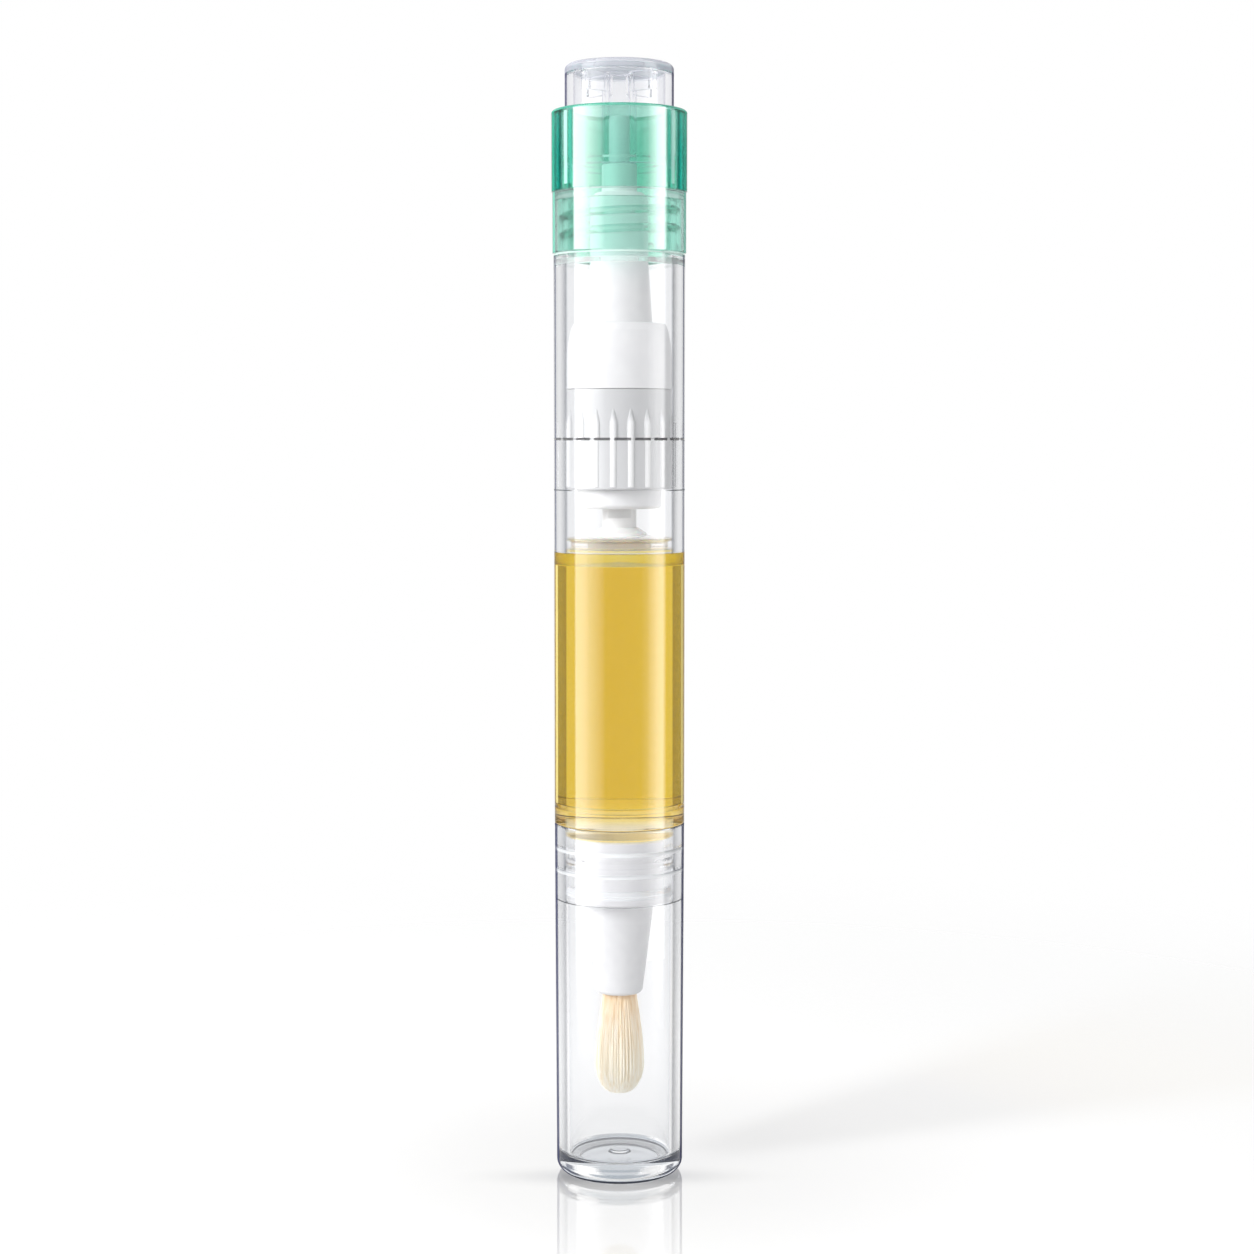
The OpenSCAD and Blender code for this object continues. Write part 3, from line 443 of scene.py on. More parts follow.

# %% [markdown]
# ## The cap's plastic
# The cap's wall is thicker than the barrel's, so its painted dark outline is wider and its painted
# grey shade goes further in. Its base is a lens with a soft outer edge: it shows one bright patch
# and one dark one beside each other, where it gathers the light of the room, and both are painted
# as lines. They lie at another facing low on the rounding than higher up, so each patch is a line
# for either height.

# %% Finish of the cap
# Shares and colours of the cap's painted shade and painted highlight.
CAP_EDGE = [(0.0, 0.0), (0.70, 0.0), (0.74, 0.85), (0.89, 0.9), (0.93, 0.2), (1.0, 0.1)]
CAP_WALL = [
    (0.0, 0.0), (0.42, 0.0), (0.465, 0.50), (0.49, 0.42), (0.517, 0.34), (0.546, 0.26),
    (0.579, 0.18), (0.615, 0.12), (0.655, 0.05), (0.69, 0.0), (1.0, 0.0),
]
SNAP_RING = [(0.0, 0.55), (0.7, 0.4), (0.8, 0.1), (1.0, 0.1)]
WALL_GREY = (0.09, 0.10, 0.12)
BASE_GREY, BASE_GLARE, BASE_DARK = (0.20, 0.25, 0.30), (1.0, 1.0, 1.0), (0.05, 0.065, 0.11)

clear_cap = see_through(
    "polished_clear_cap",
    # The tint paints grey and a dark band towards the rim.
    [(0.0, (0.78, 0.82, 0.86)), (0.05, (0.80, 0.84, 0.88)), (0.09, (0.95, 0.96, 0.97)),
     (0.30, (0.95, 0.96, 0.97)), (0.45, (0.66, 0.70, 0.76)), (0.60, (0.40, 0.44, 0.52)),
     (0.68, (0.60, 0.64, 0.70)), (0.78, (0.80, 0.83, 0.87)), (1.0, (0.85, 0.87, 0.90))],
    zones=[(1.3, 1.7, CLEAR)],
    lines=[
        # painted shade: the wall's dark outline and the grey inside it
        ((0.045, 0.05, 0.11), 0.3, 41.0, CAP_EDGE, 7),
        (WALL_GREY, 2.2, 41.0, CAP_WALL, 7),
        # painted grey shade, painted highlight and painted dark patches of the thick base, each for
        # two heights
        (BASE_GREY, 1.3, 2.0, [(0.0, 0.45), (0.04, 0.4), (0.06, 0.0), (1.0, 0.0)], 7),
        (BASE_GREY, 0.7, 1.3, [(0.0, 0.45), (0.16, 0.4), (0.20, 0.0), (1.0, 0.0)], 7),
        (BASE_GLARE, 1.3, 2.1, band(0.05, 0.09, 0.215, 0.28, 0.55), 7),
        (BASE_GLARE, 0.7, 1.3, band(0.18, 0.225, 0.35, 0.40, 0.55), 7),
        (BASE_DARK, 1.3, 1.8, band(0.30, 0.36, 0.46, 0.52, 0.7), 7),
        (BASE_DARK, 0.7, 1.3, band(0.42, 0.48, 0.58, 0.64, 0.7), 7),
        # painted dark shade where the base meets the floor
        ((0.02, 0.025, 0.045), 0.04, 0.52, even(0.94), 6.2),
        # painted pale reflections on both edges of the snap groove
        ((0.84, 0.86, 0.88), 38.0, 38.4, SNAP_RING, 0),
        ((0.84, 0.86, 0.88), 35.5, 35.9, SNAP_RING, 0),
    ],
)
print("cap finish:", len(clear_cap.node_tree.nodes), "nodes")

# %% [markdown]
# ## Cap
# The cap is the pen's foot: a thick clear cup with a soft outer edge, a shallow recess under its
# base, a wide socket with a snap groove and the gate's pip on its floor. All of that is one
# profile. The inner corners matter as much as the outer ones, since they all show.

# %% Cap
lathed("cap_clear_shell", [
    (0, 0.35), (4.6, 0.35, 0.1), (4.6, 0, 0.15), (7.33, 0, 1.4), (7.5, 40.82), (7.38, 40.95),
    (6.44, 40.95, 0.05), (6.32, 40.82), (6.32, 38.28), (6.5, 38.1), (6.5, 35.78), (6.32, 35.6),
    (6.32, 32.1, 0.08), (6.05, 32.1, 0.08), (5.88, 2.2, 0.6), (1.25, 2.2, 0.15),
    (1.0, 2.45, 0.12), (0, 2.45),
], "cap", clear_cap, ["cap_shell"])

# %% [markdown]
# ## The barrels' plastic
# Both barrels are one plastic, but what stands behind it changes: the neck in the cap, the oil, the
# mechanism, the collar. Each of these is a zone of height. Over bare wall lie a painted navy
# outline and a painted grey shade that fades inwards. The oil has its own painted edge, so there
# the wall has no outline.

# %% Finish of the barrels
# Colours and shares of the barrels' painted outline and painted grey shade; the tints below paint a
# little grey at the rim.
NAVY = (0.10, 0.11, 0.17)
EDGE = [(0.0, 0.0), (0.73, 0.0), (0.76, 0.8), (0.80, 0.75), (0.83, 0.1), (1.0, 0.05)]
WALL = [
    (0.0, 0.0), (0.385, 0.0), (0.425, 0.58), (0.448, 0.48), (0.472, 0.38), (0.497, 0.27),
    (0.524, 0.18), (0.553, 0.10), (0.585, 0.02), (0.62, 0.0), (1.0, 0.0),
]
WALL_AT_OIL = [
    (0.0, (0.97, 0.97, 0.97)), (0.76, (0.98, 0.98, 0.98)), (0.80, (0.80, 0.80, 0.82)),
    (1.0, (0.78, 0.78, 0.80)),
]
WALL_IN_NECK = [
    (0.0, (0.99, 0.99, 0.99)), (0.6, (0.97, 0.97, 0.97)), (0.8, (0.85, 0.87, 0.87)),
    (1.0, (0.8, 0.82, 0.82)),
]

clear_barrel = see_through(
    "polished_clear_styrene", WALL_IN_NECK,
    zones=[(40.9, 41.1, WALL_AT_OIL), (71.9, 72.5, CLEAR), (105.85, 105.95, WALL_IN_NECK)],
    lines=[
        # painted shade: the wall's dark outline and the grey inside it
        (NAVY, 72.3, 105.9, EDGE, 7),
        (WALL_GREY, 72.3, 105.7, WALL, 7),
        # a painted pale reflection over the guide land at the neck's foot
        ((0.80, 0.82, 0.84), 32.9, 33.8, even(0.6), 0),
        # the joint between the barrels, which the ribs interrupt
        ((0.012, 0.012, 0.015), 85.06, 85.34, [(0.0, 0.97), (0.6, 0.97), (1.0, 0.4)], 0,
         RIBS, FIRST_RIB - 90, RIB_GAP),
        # the coupling's lower edge, mirrored in the wall beside it
        ((0.10, 0.11, 0.12), 79.36, 79.5, [(0.0, 0.0), (0.28, 0.0), (0.36, 0.8), (1.0, 0.8)], 7),
        # painted light on the shoulder under the collar: green on its edge, pale below it
        ((0.70, 0.87, 0.81), 105.92, 106.3, even(0.7), 6.8),
        ((0.98, 0.99, 0.99), 104.8, 105.5, [(0.0, 0.2), (0.7, 0.2), (0.8, 0.05), (1.0, 0.05)], 0),
    ],
)
print("barrel finish:", len(clear_barrel.node_tree.nodes), "nodes")

# %% [markdown]
# ## Oil barrel
# A plain clear tube above, and below it a floor cone and the neck with its snap bead and guide
# land. Its upper rim is bevelled where it meets the upper barrel, and the barrels almost touch.

# %% Oil barrel
lathed("oil_barrel_clear", [
    (5.85, 32.2, 0.05), (6.2, 32.2, 0.1), (6.2, 33.2), (6.05, 33.35), (6.05, 36.35), (6.28, 36.58),
    (6.28, 37.12), (6.05, 37.35), (6.05, 39.6), (6.28, 39.83), (6.28, 41.0), (7.42, 41.0, 0.03),
    (7.5, 41.08, 0.03), (7.5, 85.18, 0.1), (6.26, 85.18, 0.05), (6.26, 43.3, 0.15),
    (5.2, 42.6, 0.15), (5.2, 33.7), (5.85, 33.05),
], "barrel", clear_barrel, ["reservoir_barrel"])

# %% [markdown]
# ## The oil's colour
# Amber oil is pale where the eye looks through little of it and brown where it looks through
# much. Absorption by volume would do that, but it is slow to render and lost in export. So the
# colour is a ramp over the facing: gold in the middle and brown by the wall. Near the edge the ramp
# also paints a dark olive strip of shade and a cream highlight line, where the curved wall spreads
# the oil's rim, with a painted brown rim outside it. The neck holds little oil and stays paler.

# %% Finishes of the oil
OIL_BEND = 1.47
OIL_FILM = (0.98, 0.86, 0.55)
CREAM_HIGHLIGHT, BROWN_RIM_SHADE = (1.0, 0.84, 0.32), (0.55, 0.32, 0.08)

amber_oil = see_through(
    "clear_amber_oil",
    # Gold to brown for the depth of oil, then a painted dark olive strip and a painted cream line
    # near the edge.
    [(0.0, (0.77, 0.50, 0.035)), (0.17, (0.87, 0.62, 0.06)), (0.235, (0.83, 0.58, 0.05)),
     (0.25, (0.22, 0.13, 0.005)), (0.342, (0.34, 0.24, 0.012)), (0.355, (0.97, 0.84, 0.45)),
     (0.378, (0.97, 0.84, 0.45)), (0.386, (0.55, 0.32, 0.06)), (1.0, (0.55, 0.32, 0.06))],
    ior=OIL_BEND, film=OIL_FILM, level_pass=True,
    lines=[
        # the painted cream highlight line at the oil's edge, then the painted brown rim shade
        # outside it
        (CREAM_HIGHLIGHT, 20, 90, band(0.343, 0.353, 0.374, 0.382, 0.8), 0),
        (BROWN_RIM_SHADE, 20, 90, [
            (0.0, 0.0), (0.382, 0.0), (0.387, 0.6), (0.40, 0.6), (0.42, 0.2), (1.0, 0.1)], 0),
    ],
)
neck_oil = see_through(
    "amber_oil_in_neck",
    [(0.0, (1.0, 0.97, 0.86)), (0.25, (1.0, 0.94, 0.72)), (0.37, (1.0, 0.95, 0.75)),
     (1.0, (1.0, 0.92, 0.66))],
    ior=OIL_BEND, film=(0.98, 0.9, 0.65), level_pass=True,
    zones=[(40.3, 42.0, [
        (0.0, (0.97, 0.70, 0.14)), (0.2, (0.95, 0.62, 0.06)), (0.27, (0.80, 0.50, 0.05)),
        (0.34, (0.80, 0.54, 0.06)), (0.37, (1.0, 0.76, 0.18)), (1.0, (1.0, 0.72, 0.15)),
    ])],
)
deep_oil = see_through(
    "deep_amber_oil",
    [(0.0, (1.0, 0.93, 0.50)), (0.08, (1.0, 0.90, 0.34)), (0.18, (0.97, 0.78, 0.09)),
     (0.24, (0.85, 0.66, 0.03)), (0.37, (1.0, 0.87, 0.14)), (1.0, (1.0, 0.84, 0.12))],
    ior=OIL_BEND, film=OIL_FILM, level_pass=True,
)
print("oil finishes:", amber_oil.name, neck_oil.name, deep_oil.name)

# %% [markdown]
# ## Oil
# Oil wets the wall, and it bends light almost as the plastic does, so no wall shows where it
# stands. If the oil stopped at the bore, a film of air would appear between the two and mirror the
# light. So the oil's surface lies a hair inside the wall. It is three pieces: what stands in
# the neck, the column that shortens as the piston comes down, and the ring round the piston's
# taper, which travels with the piston.

# %% Oil
OIL_R, COLUMN_LOW, COLUMN_HIGH = 6.275, 43.3, 70.8
lathed("oil_in_neck", [
    (0, 39.52), (5.215, 39.52), (5.215, 42.6, 0.15), (OIL_R, COLUMN_LOW), (0, COLUMN_LOW),
], "barrel", neck_oil, ["oil_fill"])
oil_column = lathed("oil_column", [
    (0, COLUMN_LOW), (OIL_R, COLUMN_LOW), (OIL_R, COLUMN_HIGH), (0, COLUMN_HIGH),
], "barrel", amber_oil, ["oil_fill"])
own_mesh(oil_column)
lathed("oil_ring_at_piston", [
    (5.17, COLUMN_HIGH), (OIL_R, COLUMN_HIGH), (OIL_R, 72.3, 0.1), (6.18, 72.3, 0.05),
], "piston", deep_oil, ["oil_fill"])

# %% [markdown]
# ## Brush holder
# A white cone with a rounded nose, on a plug that is pressed in the neck. A long taper catches
# light as one smooth gradient, so it gets no edge until the nose. It stands deep in the cap, away
# from the lamps, so its white is painted a little greyer than the mechanism's, as shade.

# %% Brush holder
# The same white plastic, painted greyer as the shade deep in the cap.
cone_plastic_painted_shade = moulded("cone_white_polypropylene_painted_shade", (0.72, 0.72, 0.73), (0.76, 0.76, 0.765))
lathed("brush_cone", [
    (1.97, 21.1, 0.1), (2.65, 21.1, 0.45), (4.05, 32.2, 0.1), (5.83, 32.2, 0.1), (5.83, 33.0),
    (5.18, 33.65), (5.18, 39.25), (4.93, 39.5), (3.88, 39.5), (3.88, 33.0), (2.45, 31.4),
    (2.45, 24.6), (1.97, 24.6),
], "barrel", cone_plastic_painted_shade, ["brush_holder"])

# %% [markdown]
# ## Brush
# The tuft is a few thousand nylon filaments, thicker than hair and slightly oiled. Hair particles
# would leave nothing in the mesh, so each filament is a tapering curve with a round bevel, and
# all of them become one mesh. They leave the mouth straight, spread to a belly and end on
# a rounded front. Some cross their neighbours a little, which keeps the tuft from looking combed.

# %% Filaments
FILAMENTS = 2300
BRUSH_MOUTH, BRUSH_END, BELLY_R, MOUTH_R = 21.3, 9.2, 3.0, 1.85
GOLDEN_ANGLE = math.radians(137.508)
BELLY_AT = 0.85


def bevelled_curve(name, radius, resolution):
    """An empty curve that will draw round rods of one radius, in millimetres, with closed ends."""
    curve = bpy.data.curves.new(name, "CURVE")
    curve.dimensions = "3D"
    curve.bevel_depth = radius * MM
    curve.bevel_resolution = resolution
    curve.use_fill_caps = True
    return curve


def mesh_of(curve):
    """The mesh that a curve draws."""
    stand_in = bpy.data.objects.new(curve.name, curve)
    bpy.context.scene.collection.objects.link(stand_in)
    mesh = bpy.data.meshes.new_from_object(
        stand_in.evaluated_get(bpy.context.evaluated_depsgraph_get())
    )
    bpy.data.objects.remove(stand_in)
    return mesh


shake = random.Random(7)
tuft_curve = bevelled_curve("tuft_curve", 0.045, 0)
for i in range(FILAMENTS):
    share = (i + 0.5) / FILAMENTS
    turn = i * GOLDEN_ANGLE
    root_r = MOUTH_R * math.sqrt(share)
    belly_r = (BELLY_R - 0.06) * math.sqrt(share) * shake.uniform(0.95, 1.0)
    end = BRUSH_END + 1.8 * share ** 1.8 + shake.uniform(0.0, 0.35) * (0.2 + share)
    lean = shake.uniform(-0.06, 0.06)
    spline = tuft_curve.splines.new("POLY")
    spline.points.add(6)
    for k, t in enumerate((0.0, 0.12, 0.3, 0.5, 0.7, 0.87, 1.0)):
        z = BRUSH_MOUTH + (end - BRUSH_MOUTH) * t
        swell = 1 - (1 - min(t / BELLY_AT, 1)) ** 1.5
        r = root_r + (belly_r - root_r) * swell
        if t > BELLY_AT:
            r *= 1 - 0.10 * ((t - BELLY_AT) / (1 - BELLY_AT)) ** 2
        a = turn + lean * t
        spline.points[k].co = (r * math.cos(a) * MM, r * math.sin(a) * MM, z * MM, 1)
        spline.points[k].radius = 1.15 - 0.75 * t ** 3
tuft_mesh = mesh_of(tuft_curve)
print("tuft of", FILAMENTS, "filaments,", len(tuft_mesh.polygons), "faces")

# %% [markdown]
# ## Nylon
# Cream nylon passes light on from strand to strand, so a tuft is brighter inside than one colour
# with shadows would be. Subsurface gives part of that, and a very weak emission of the same colour
# paints in the rest as a faint painted glow. The colour goes from nearly white at the tip to tan at
# the mouth, where oil soaks in, and noise stretched along the strands sets them apart.

# %% Finish of the brush
nylon = moulded("cream_nylon", (0.9, 0.8, 0.7), (0.95, 0.9, 0.8), (0.35, 0.5), 2500, 0.0, 0.3)
nodes, links = nylon.node_tree.nodes, nylon.node_tree.links
shader = nodes["Principled BSDF"]
# A faint painted glow of the nylon's own colour stands for light passed on between strands.
shader.inputs["Emission Strength"].default_value = 0.07
shader.inputs["Subsurface Radius"].default_value = (1, 0.9, 0.8)
fade = ramp_of(nodes, links, height_step(nodes, links, 9.4, BRUSH_MOUTH), [
    (0.0, (1.0, 1.0, 0.96)), (0.3, (1.0, 0.98, 0.90)), (0.7, (1.0, 0.92, 0.78)),
    (0.93, (0.97, 0.81, 0.59)), (1.0, (0.85, 0.62, 0.40)),
])
place = nodes.new("ShaderNodeTexCoord")
streak = nodes.new("ShaderNodeMapping")
streak.inputs["Scale"].default_value = (3500, 3500, 60)
links.new(place.outputs["Object"], streak.inputs["Vector"])
strand = nodes.new("ShaderNodeTexNoise")
strand.inputs["Scale"].default_value = 1.0
links.new(streak.outputs["Vector"], strand.inputs["Vector"])
strand_tone = step_between(nodes, links, strand.outputs["Fac"], 0.3, 0.7)
warmth = ramp_of(nodes, links, strand_tone, [
    (0.0, (0.86, 0.75, 0.58)), (0.45, (0.98, 0.94, 0.86)), (1.0, (1.0, 1.0, 1.0)),
])
tint = nodes.new("ShaderNodeMix")
tint.data_type = "RGBA"
tint.blend_type = "MULTIPLY"
tint.inputs["Factor"].default_value = 1.0
links.new(fade, tint.inputs[6])
links.new(warmth, tint.inputs[7])
for socket in ("Base Color", "Emission Color"):
    links.new(tint.outputs[2], shader.inputs[socket])
print("nylon:", len(nodes), "nodes")

# %% [markdown]
# The root of the tuft is moulded: a flange that seats on the holder's shoulder and a short stem.
# It goes in the same piece as the filaments, because it is what they grow from.

# %% Moulded root and tuft in one piece
bm = bmesh.new()
wire_profile(bm, [
    (0.9, 21.3), (1.93, 21.3, 0.05), (1.93, 24.65), (2.43, 24.65), (2.43, 25.4, 0.05), (0.9, 25.4),
])
spun(bm, 48)
bm.from_mesh(tuft_mesh)
finished("brush_tuft", bm, "barrel", nylon, ["bristles"])

# %% [markdown]
# ## Piston and lead screw
# The piston is soft natural polyethylene: two thin lips wipe the bore, and a groove between them
# lets them flex. The lips are drawn to the bore itself. The thick core is milky and the wet
# lips are nearly clear, so the share of transmission grows with the distance from the axis.
# The screw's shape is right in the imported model, so that node stays and only gets a finish.

# %% Piston and screw
def refinish(node, material):
    """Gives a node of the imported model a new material."""
    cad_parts[node].data.materials.clear()
    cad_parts[node].data.materials.append(material)


piston_plastic = moulded(
    "natural_polyethylene", (0.93, 0.91, 0.89), (0.96, 0.94, 0.92), (0.08, 0.16), subsurface=0.2
)
nodes, links = piston_plastic.node_tree.nodes, piston_plastic.node_tree.links
outward = radius_step(nodes, links, 3.9, 5.4)
clearer = arithmetic(nodes, links, "MULTIPLY", outward, 0.9)
links.new(clearer, nodes["Principled BSDF"].inputs["Transmission Weight"])
lathed("oil_piston", [
    (0, 71.3), (2.6, 71.05), (4.7, 70.8), (5.2, 70.8, 0.1), (6.19, 72.3), (6.24, 72.3, 0.03),
    (6.24, 72.75, 0.1), (5.59, 72.75, 0.1), (5.59, 73.5, 0.1), (6.24, 73.72, 0.05),
    (6.01, 73.95, 0.05), (3.15, 74.22, 0.1), (3.15, 74.45, 0.1), (2.16, 75.1), (2.01, 75.1),
    (2.01, 73.95), (2.45, 73.95), (2.45, 72.55), (0, 72.55),
], "piston", piston_plastic, ["piston"])
screw_plastic = moulded("white_acetal", (0.85, 0.85, 0.84), (0.89, 0.89, 0.88), (0.25, 0.35))
refinish("lead_screw", screw_plastic)

# %% [markdown]
# ## Nut
# A round boss under the coupling, through which the screw runs.

# %% Nut
lathed("screw_nut", [
    (2.01, 77.3), (4.86, 77.3, 0.5), (4.86, 79.45), (2.98, 79.45), (2.98, 81.0), (2.01, 81.0),
], "barrel", white_plastic, ["lead_nut"])

# %% [markdown]
# ## Ribbed coupling
# The coupling joins both barrels and centres itself with twenty crush ribs. Each rib is a slim
# round bar with a tapered top: a circle, extruded twice and drawn in at the end. The ribs stay
# separate shells in one mesh, because white plastic hides where they meet. A rib shows bright
# where it presses on the clear wall, with no air between, so the plastic is painted paler at that
# radius, and the sleeve's body between the ribs is painted darker, as shade.

# %% Ribbed coupling
RIB_R, RIB_AT, RIB_LOW = 0.46, 5.815, 79.8
RIB_STRAIGHT, RIB_TAPER, RIB_TIP = 7.2, 1.6, 0.4


def raised(bm, faces, rise):
    """Extrudes faces upwards; gives the new faces and their points."""
    grown = bmesh.ops.extrude_face_region(bm, geom=faces)["geom"]
    top = [v for v in grown if isinstance(v, bmesh.types.BMVert)]
    bmesh.ops.translate(bm, verts=top, vec=(0, 0, rise * MM))
    return [f for f in grown if isinstance(f, bmesh.types.BMFace)], top


def crush_rib(turn_deg):
    """One rib, as a mesh, turned to its place round the axis."""
    rib = bmesh.new()
    bmesh.ops.create_circle(rib, cap_ends=True, segments=16, radius=RIB_R * MM)
    bmesh.ops.translate(rib, verts=rib.verts[:], vec=(RIB_AT * MM, 0, RIB_LOW * MM))
    end, _ = raised(rib, rib.faces[:], RIB_STRAIGHT)
    _, top = raised(rib, end, RIB_TAPER)
    bmesh.ops.delete(rib, geom=end, context="FACES_ONLY")
    bmesh.ops.scale(
        rib, verts=top, vec=(RIB_TIP, RIB_TIP, 1), space=Matrix.Translation((-RIB_AT * MM, 0, 0))
    )
    turn = Matrix.Rotation(math.radians(turn_deg), 4, "Z")
    bmesh.ops.transform(rib, matrix=turn, verts=rib.verts[:])
    mesh = bpy.data.meshes.new("rib")
    rib.to_mesh(mesh)
    rib.free()
    return mesh


ribbed_plastic_painted_shade = moulded("ribbed_white_polypropylene_painted_shade", (0.9, 0.9, 0.9), (0.9, 0.9, 0.9))
nodes, links = ribbed_plastic_painted_shade.node_tree.nodes, ribbed_plastic_painted_shade.node_tree.links
# Painted shade nearer the axis, painted light where the ribs touch the wall.
outward = radius_step(nodes, links, 6.08, 6.24)
links.new(
    ramp_of(nodes, links, outward, [(0.0, (0.60, 0.605, 0.61)), (1.0, (0.86, 0.86, 0.86))]),
    nodes["Principled BSDF"].inputs["Base Color"],
)
bm = bmesh.new()
wire_profile(bm, [
    (3.0, 79.5), (6.1, 79.5, 0.2), (6.1, 85.1, 0.05), (5.98, 85.3, 0.05), (5.98, 90.8, 0.06),
    (5.56, 90.8), (5.56, 88.9), (5.18, 88.9), (5.18, 82.6), (4.13, 82.6), (4.13, 80.7),
    (3.0, 80.7),
])
spun(bm)
for i in range(RIBS):
    rib_mesh = crush_rib(360 * i / RIBS + FIRST_RIB - 90)
    bm.from_mesh(rib_mesh)
    bpy.data.meshes.remove(rib_mesh)
finished("ribbed_sleeve", bm, "barrel", ribbed_plastic_painted_shade, ["ribbed_coupling"], 30)

# %% [markdown]
# ## Click ratchet
# Only the domed housing shows. Behind it turn the rotor and its two cam rings, whose teeth are
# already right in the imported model, so those nodes stay and only get a finish. So does the small
# tube that feeds oil to the brush.

# %% Housing
lathed("domed_housing", [
    (5.18, 88.95), (5.54, 88.95, 0.05), (5.54, 90.85), (6.05, 90.85, 0.08),
    (6.05, 93.0), (6.0, 94.6), (5.86, 96.1), (5.6, 97.4), (5.32, 98.1), (5.12, 98.3, 0.1),
    (3.93, 98.3, 0.1), (3.93, 97.1), (4.78, 97.1), (4.78, 93.55), (5.18, 93.55),
], "barrel", white_plastic, ["ratchet_housing"])
cam_plastic = moulded("offwhite_acetal", (0.66, 0.69, 0.73), (0.72, 0.75, 0.78), (0.25, 0.4))
for node in ("cam_ring_lower", "cam_ring_upper", "rotor"):
    refinish(node, cam_plastic)
refinish("feed_tube", white_plastic)

# %% [markdown]
# ## Return spring
# A coil is one round wire along a helix. A screw modifier could draw it, but a curve with a round
# bevel has closed ends and even sections. The spring shortens with the button.

# %% Return spring
TURNS, STEPS_A_TURN, SPRING_R, SPRING_LOW, SPRING_HIGH = 6, 40, 3.576, 80.975, 87.225
spring_wire = moulded("drawn_spring_wire", (0.50, 0.51, 0.53), (0.62, 0.63, 0.65), (0.2, 0.3), 4000)
spring_wire.node_tree.nodes["Principled BSDF"].inputs["Metallic"].default_value = 1.0
wire = bevelled_curve("spring_wire", 0.225, 3)
coil = wire.splines.new("POLY")
coil.points.add(TURNS * STEPS_A_TURN)
for k in range(TURNS * STEPS_A_TURN + 1):
    a = 2 * math.pi * k / STEPS_A_TURN
    z = SPRING_LOW + (SPRING_HIGH - SPRING_LOW) * k / (TURNS * STEPS_A_TURN)
    coil.points[k].co = (SPRING_R * math.cos(a) * MM, SPRING_R * math.sin(a) * MM, z * MM, 1)
bm = bmesh.new()
bm.from_mesh(mesh_of(wire))
spring = finished("return_coil", bm, "barrel", spring_wire, ["return_spring"])
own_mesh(spring)

# %% [markdown]
# ## Pusher
# A long sleeve over the screw, with the pin that the button is pressed on. It is seen in air
# inside the barrel, so it shows at its true width.

# %% Pusher
lathed("pusher_sleeve", [
    (2.26, 91.15), (4.13, 91.15), (4.13, 96.2), (4.6, 96.2), (4.6, 97.05), (3.85, 97.05),
    (3.3, 105.3, 0.3), (3.3, 112.35), (2.65, 112.95, 0.1), (2.0, 112.95, 0.1), (2.0, 116.15, 0.1),
    (1.2, 116.15), (1.2, 121.55, 0.5), (0, 121.55), (0, 112.15), (2.26, 112.15),
], "button", white_plastic, ["pusher"])

# %% [markdown]
# ## Upper barrel and its thread
# The collar screws on a neck. The thread is a ridge, spun as a helix: the same spin with a
# rise per step. It overlaps the neck a little, because a gap in clear plastic would show. It is
# seen through the green collar, so its plastic is painted with a green cast and painted darker to
# its flanks, as shade.

# %% Upper barrel
lathed("upper_barrel_clear", [
    (6.26, 85.22, 0.05), (7.5, 85.22, 0.1), (7.5, 106.02, 0.03), (7.42, 106.1, 0.03),
    (6.55, 106.1, 0.1), (6.55, 112.05, 0.1), (5.9, 112.05, 0.05), (5.9, 105.5, 0.1),
    (6.26, 104.9, 0.1),
], "barrel", clear_barrel, ["mechanism_barrel"])

# %% Thread
THREAD_PITCH, THREAD_TURNS, THREAD_START_DEG = 2.0, 2.2, 40
# A painted green cast that darkens to the flanks as painted shade.
thread_clear = see_through(
    "clear_thread_in_green",
    [(0.0, (0.85, 0.95, 0.92)), (0.4, (0.55, 0.80, 0.73)), (0.8, (0.30, 0.62, 0.52)),
     (1.0, (0.35, 0.65, 0.55))],
)
bm = bmesh.new()
wire_profile(bm, [(6.5, 106.85), (6.5, 107.75), (6.92, 107.45, 0.06), (6.92, 107.15, 0.06)])
bmesh.ops.rotate(
    bm, verts=bm.verts[:], cent=(0, 0, 0),
    matrix=Matrix.Rotation(math.radians(THREAD_START_DEG), 3, "Z"),
)
spun(bm, steps=200, angle=2 * math.pi * THREAD_TURNS, rise=THREAD_PITCH * THREAD_TURNS)
bmesh.ops.holes_fill(bm, edges=[e for e in bm.edges if e.is_boundary], sides=0)
finished("neck_thread", bm, "barrel", thread_clear)

# %% [markdown]
# ## The collar's plastic
# Deep green at its thick head and pale at its thin skirt: it is one plastic, and the
# depth of the wall makes the colour. A Principled surface tint can't know the depth, so the head
# and the skirt get a ramp each, at the step between them. The head's ramp paints dark and bright
# stripes towards the rim, as a thick tube gathers the room's light in stripes, and the skirt's ramp
# paints darker bands near its rim. Lines add painted dark rims and a painted mint highlight stripe.

# %% Finish of the collar
HEAD_LOW, HEAD_HIGH = 113.6, 121.7

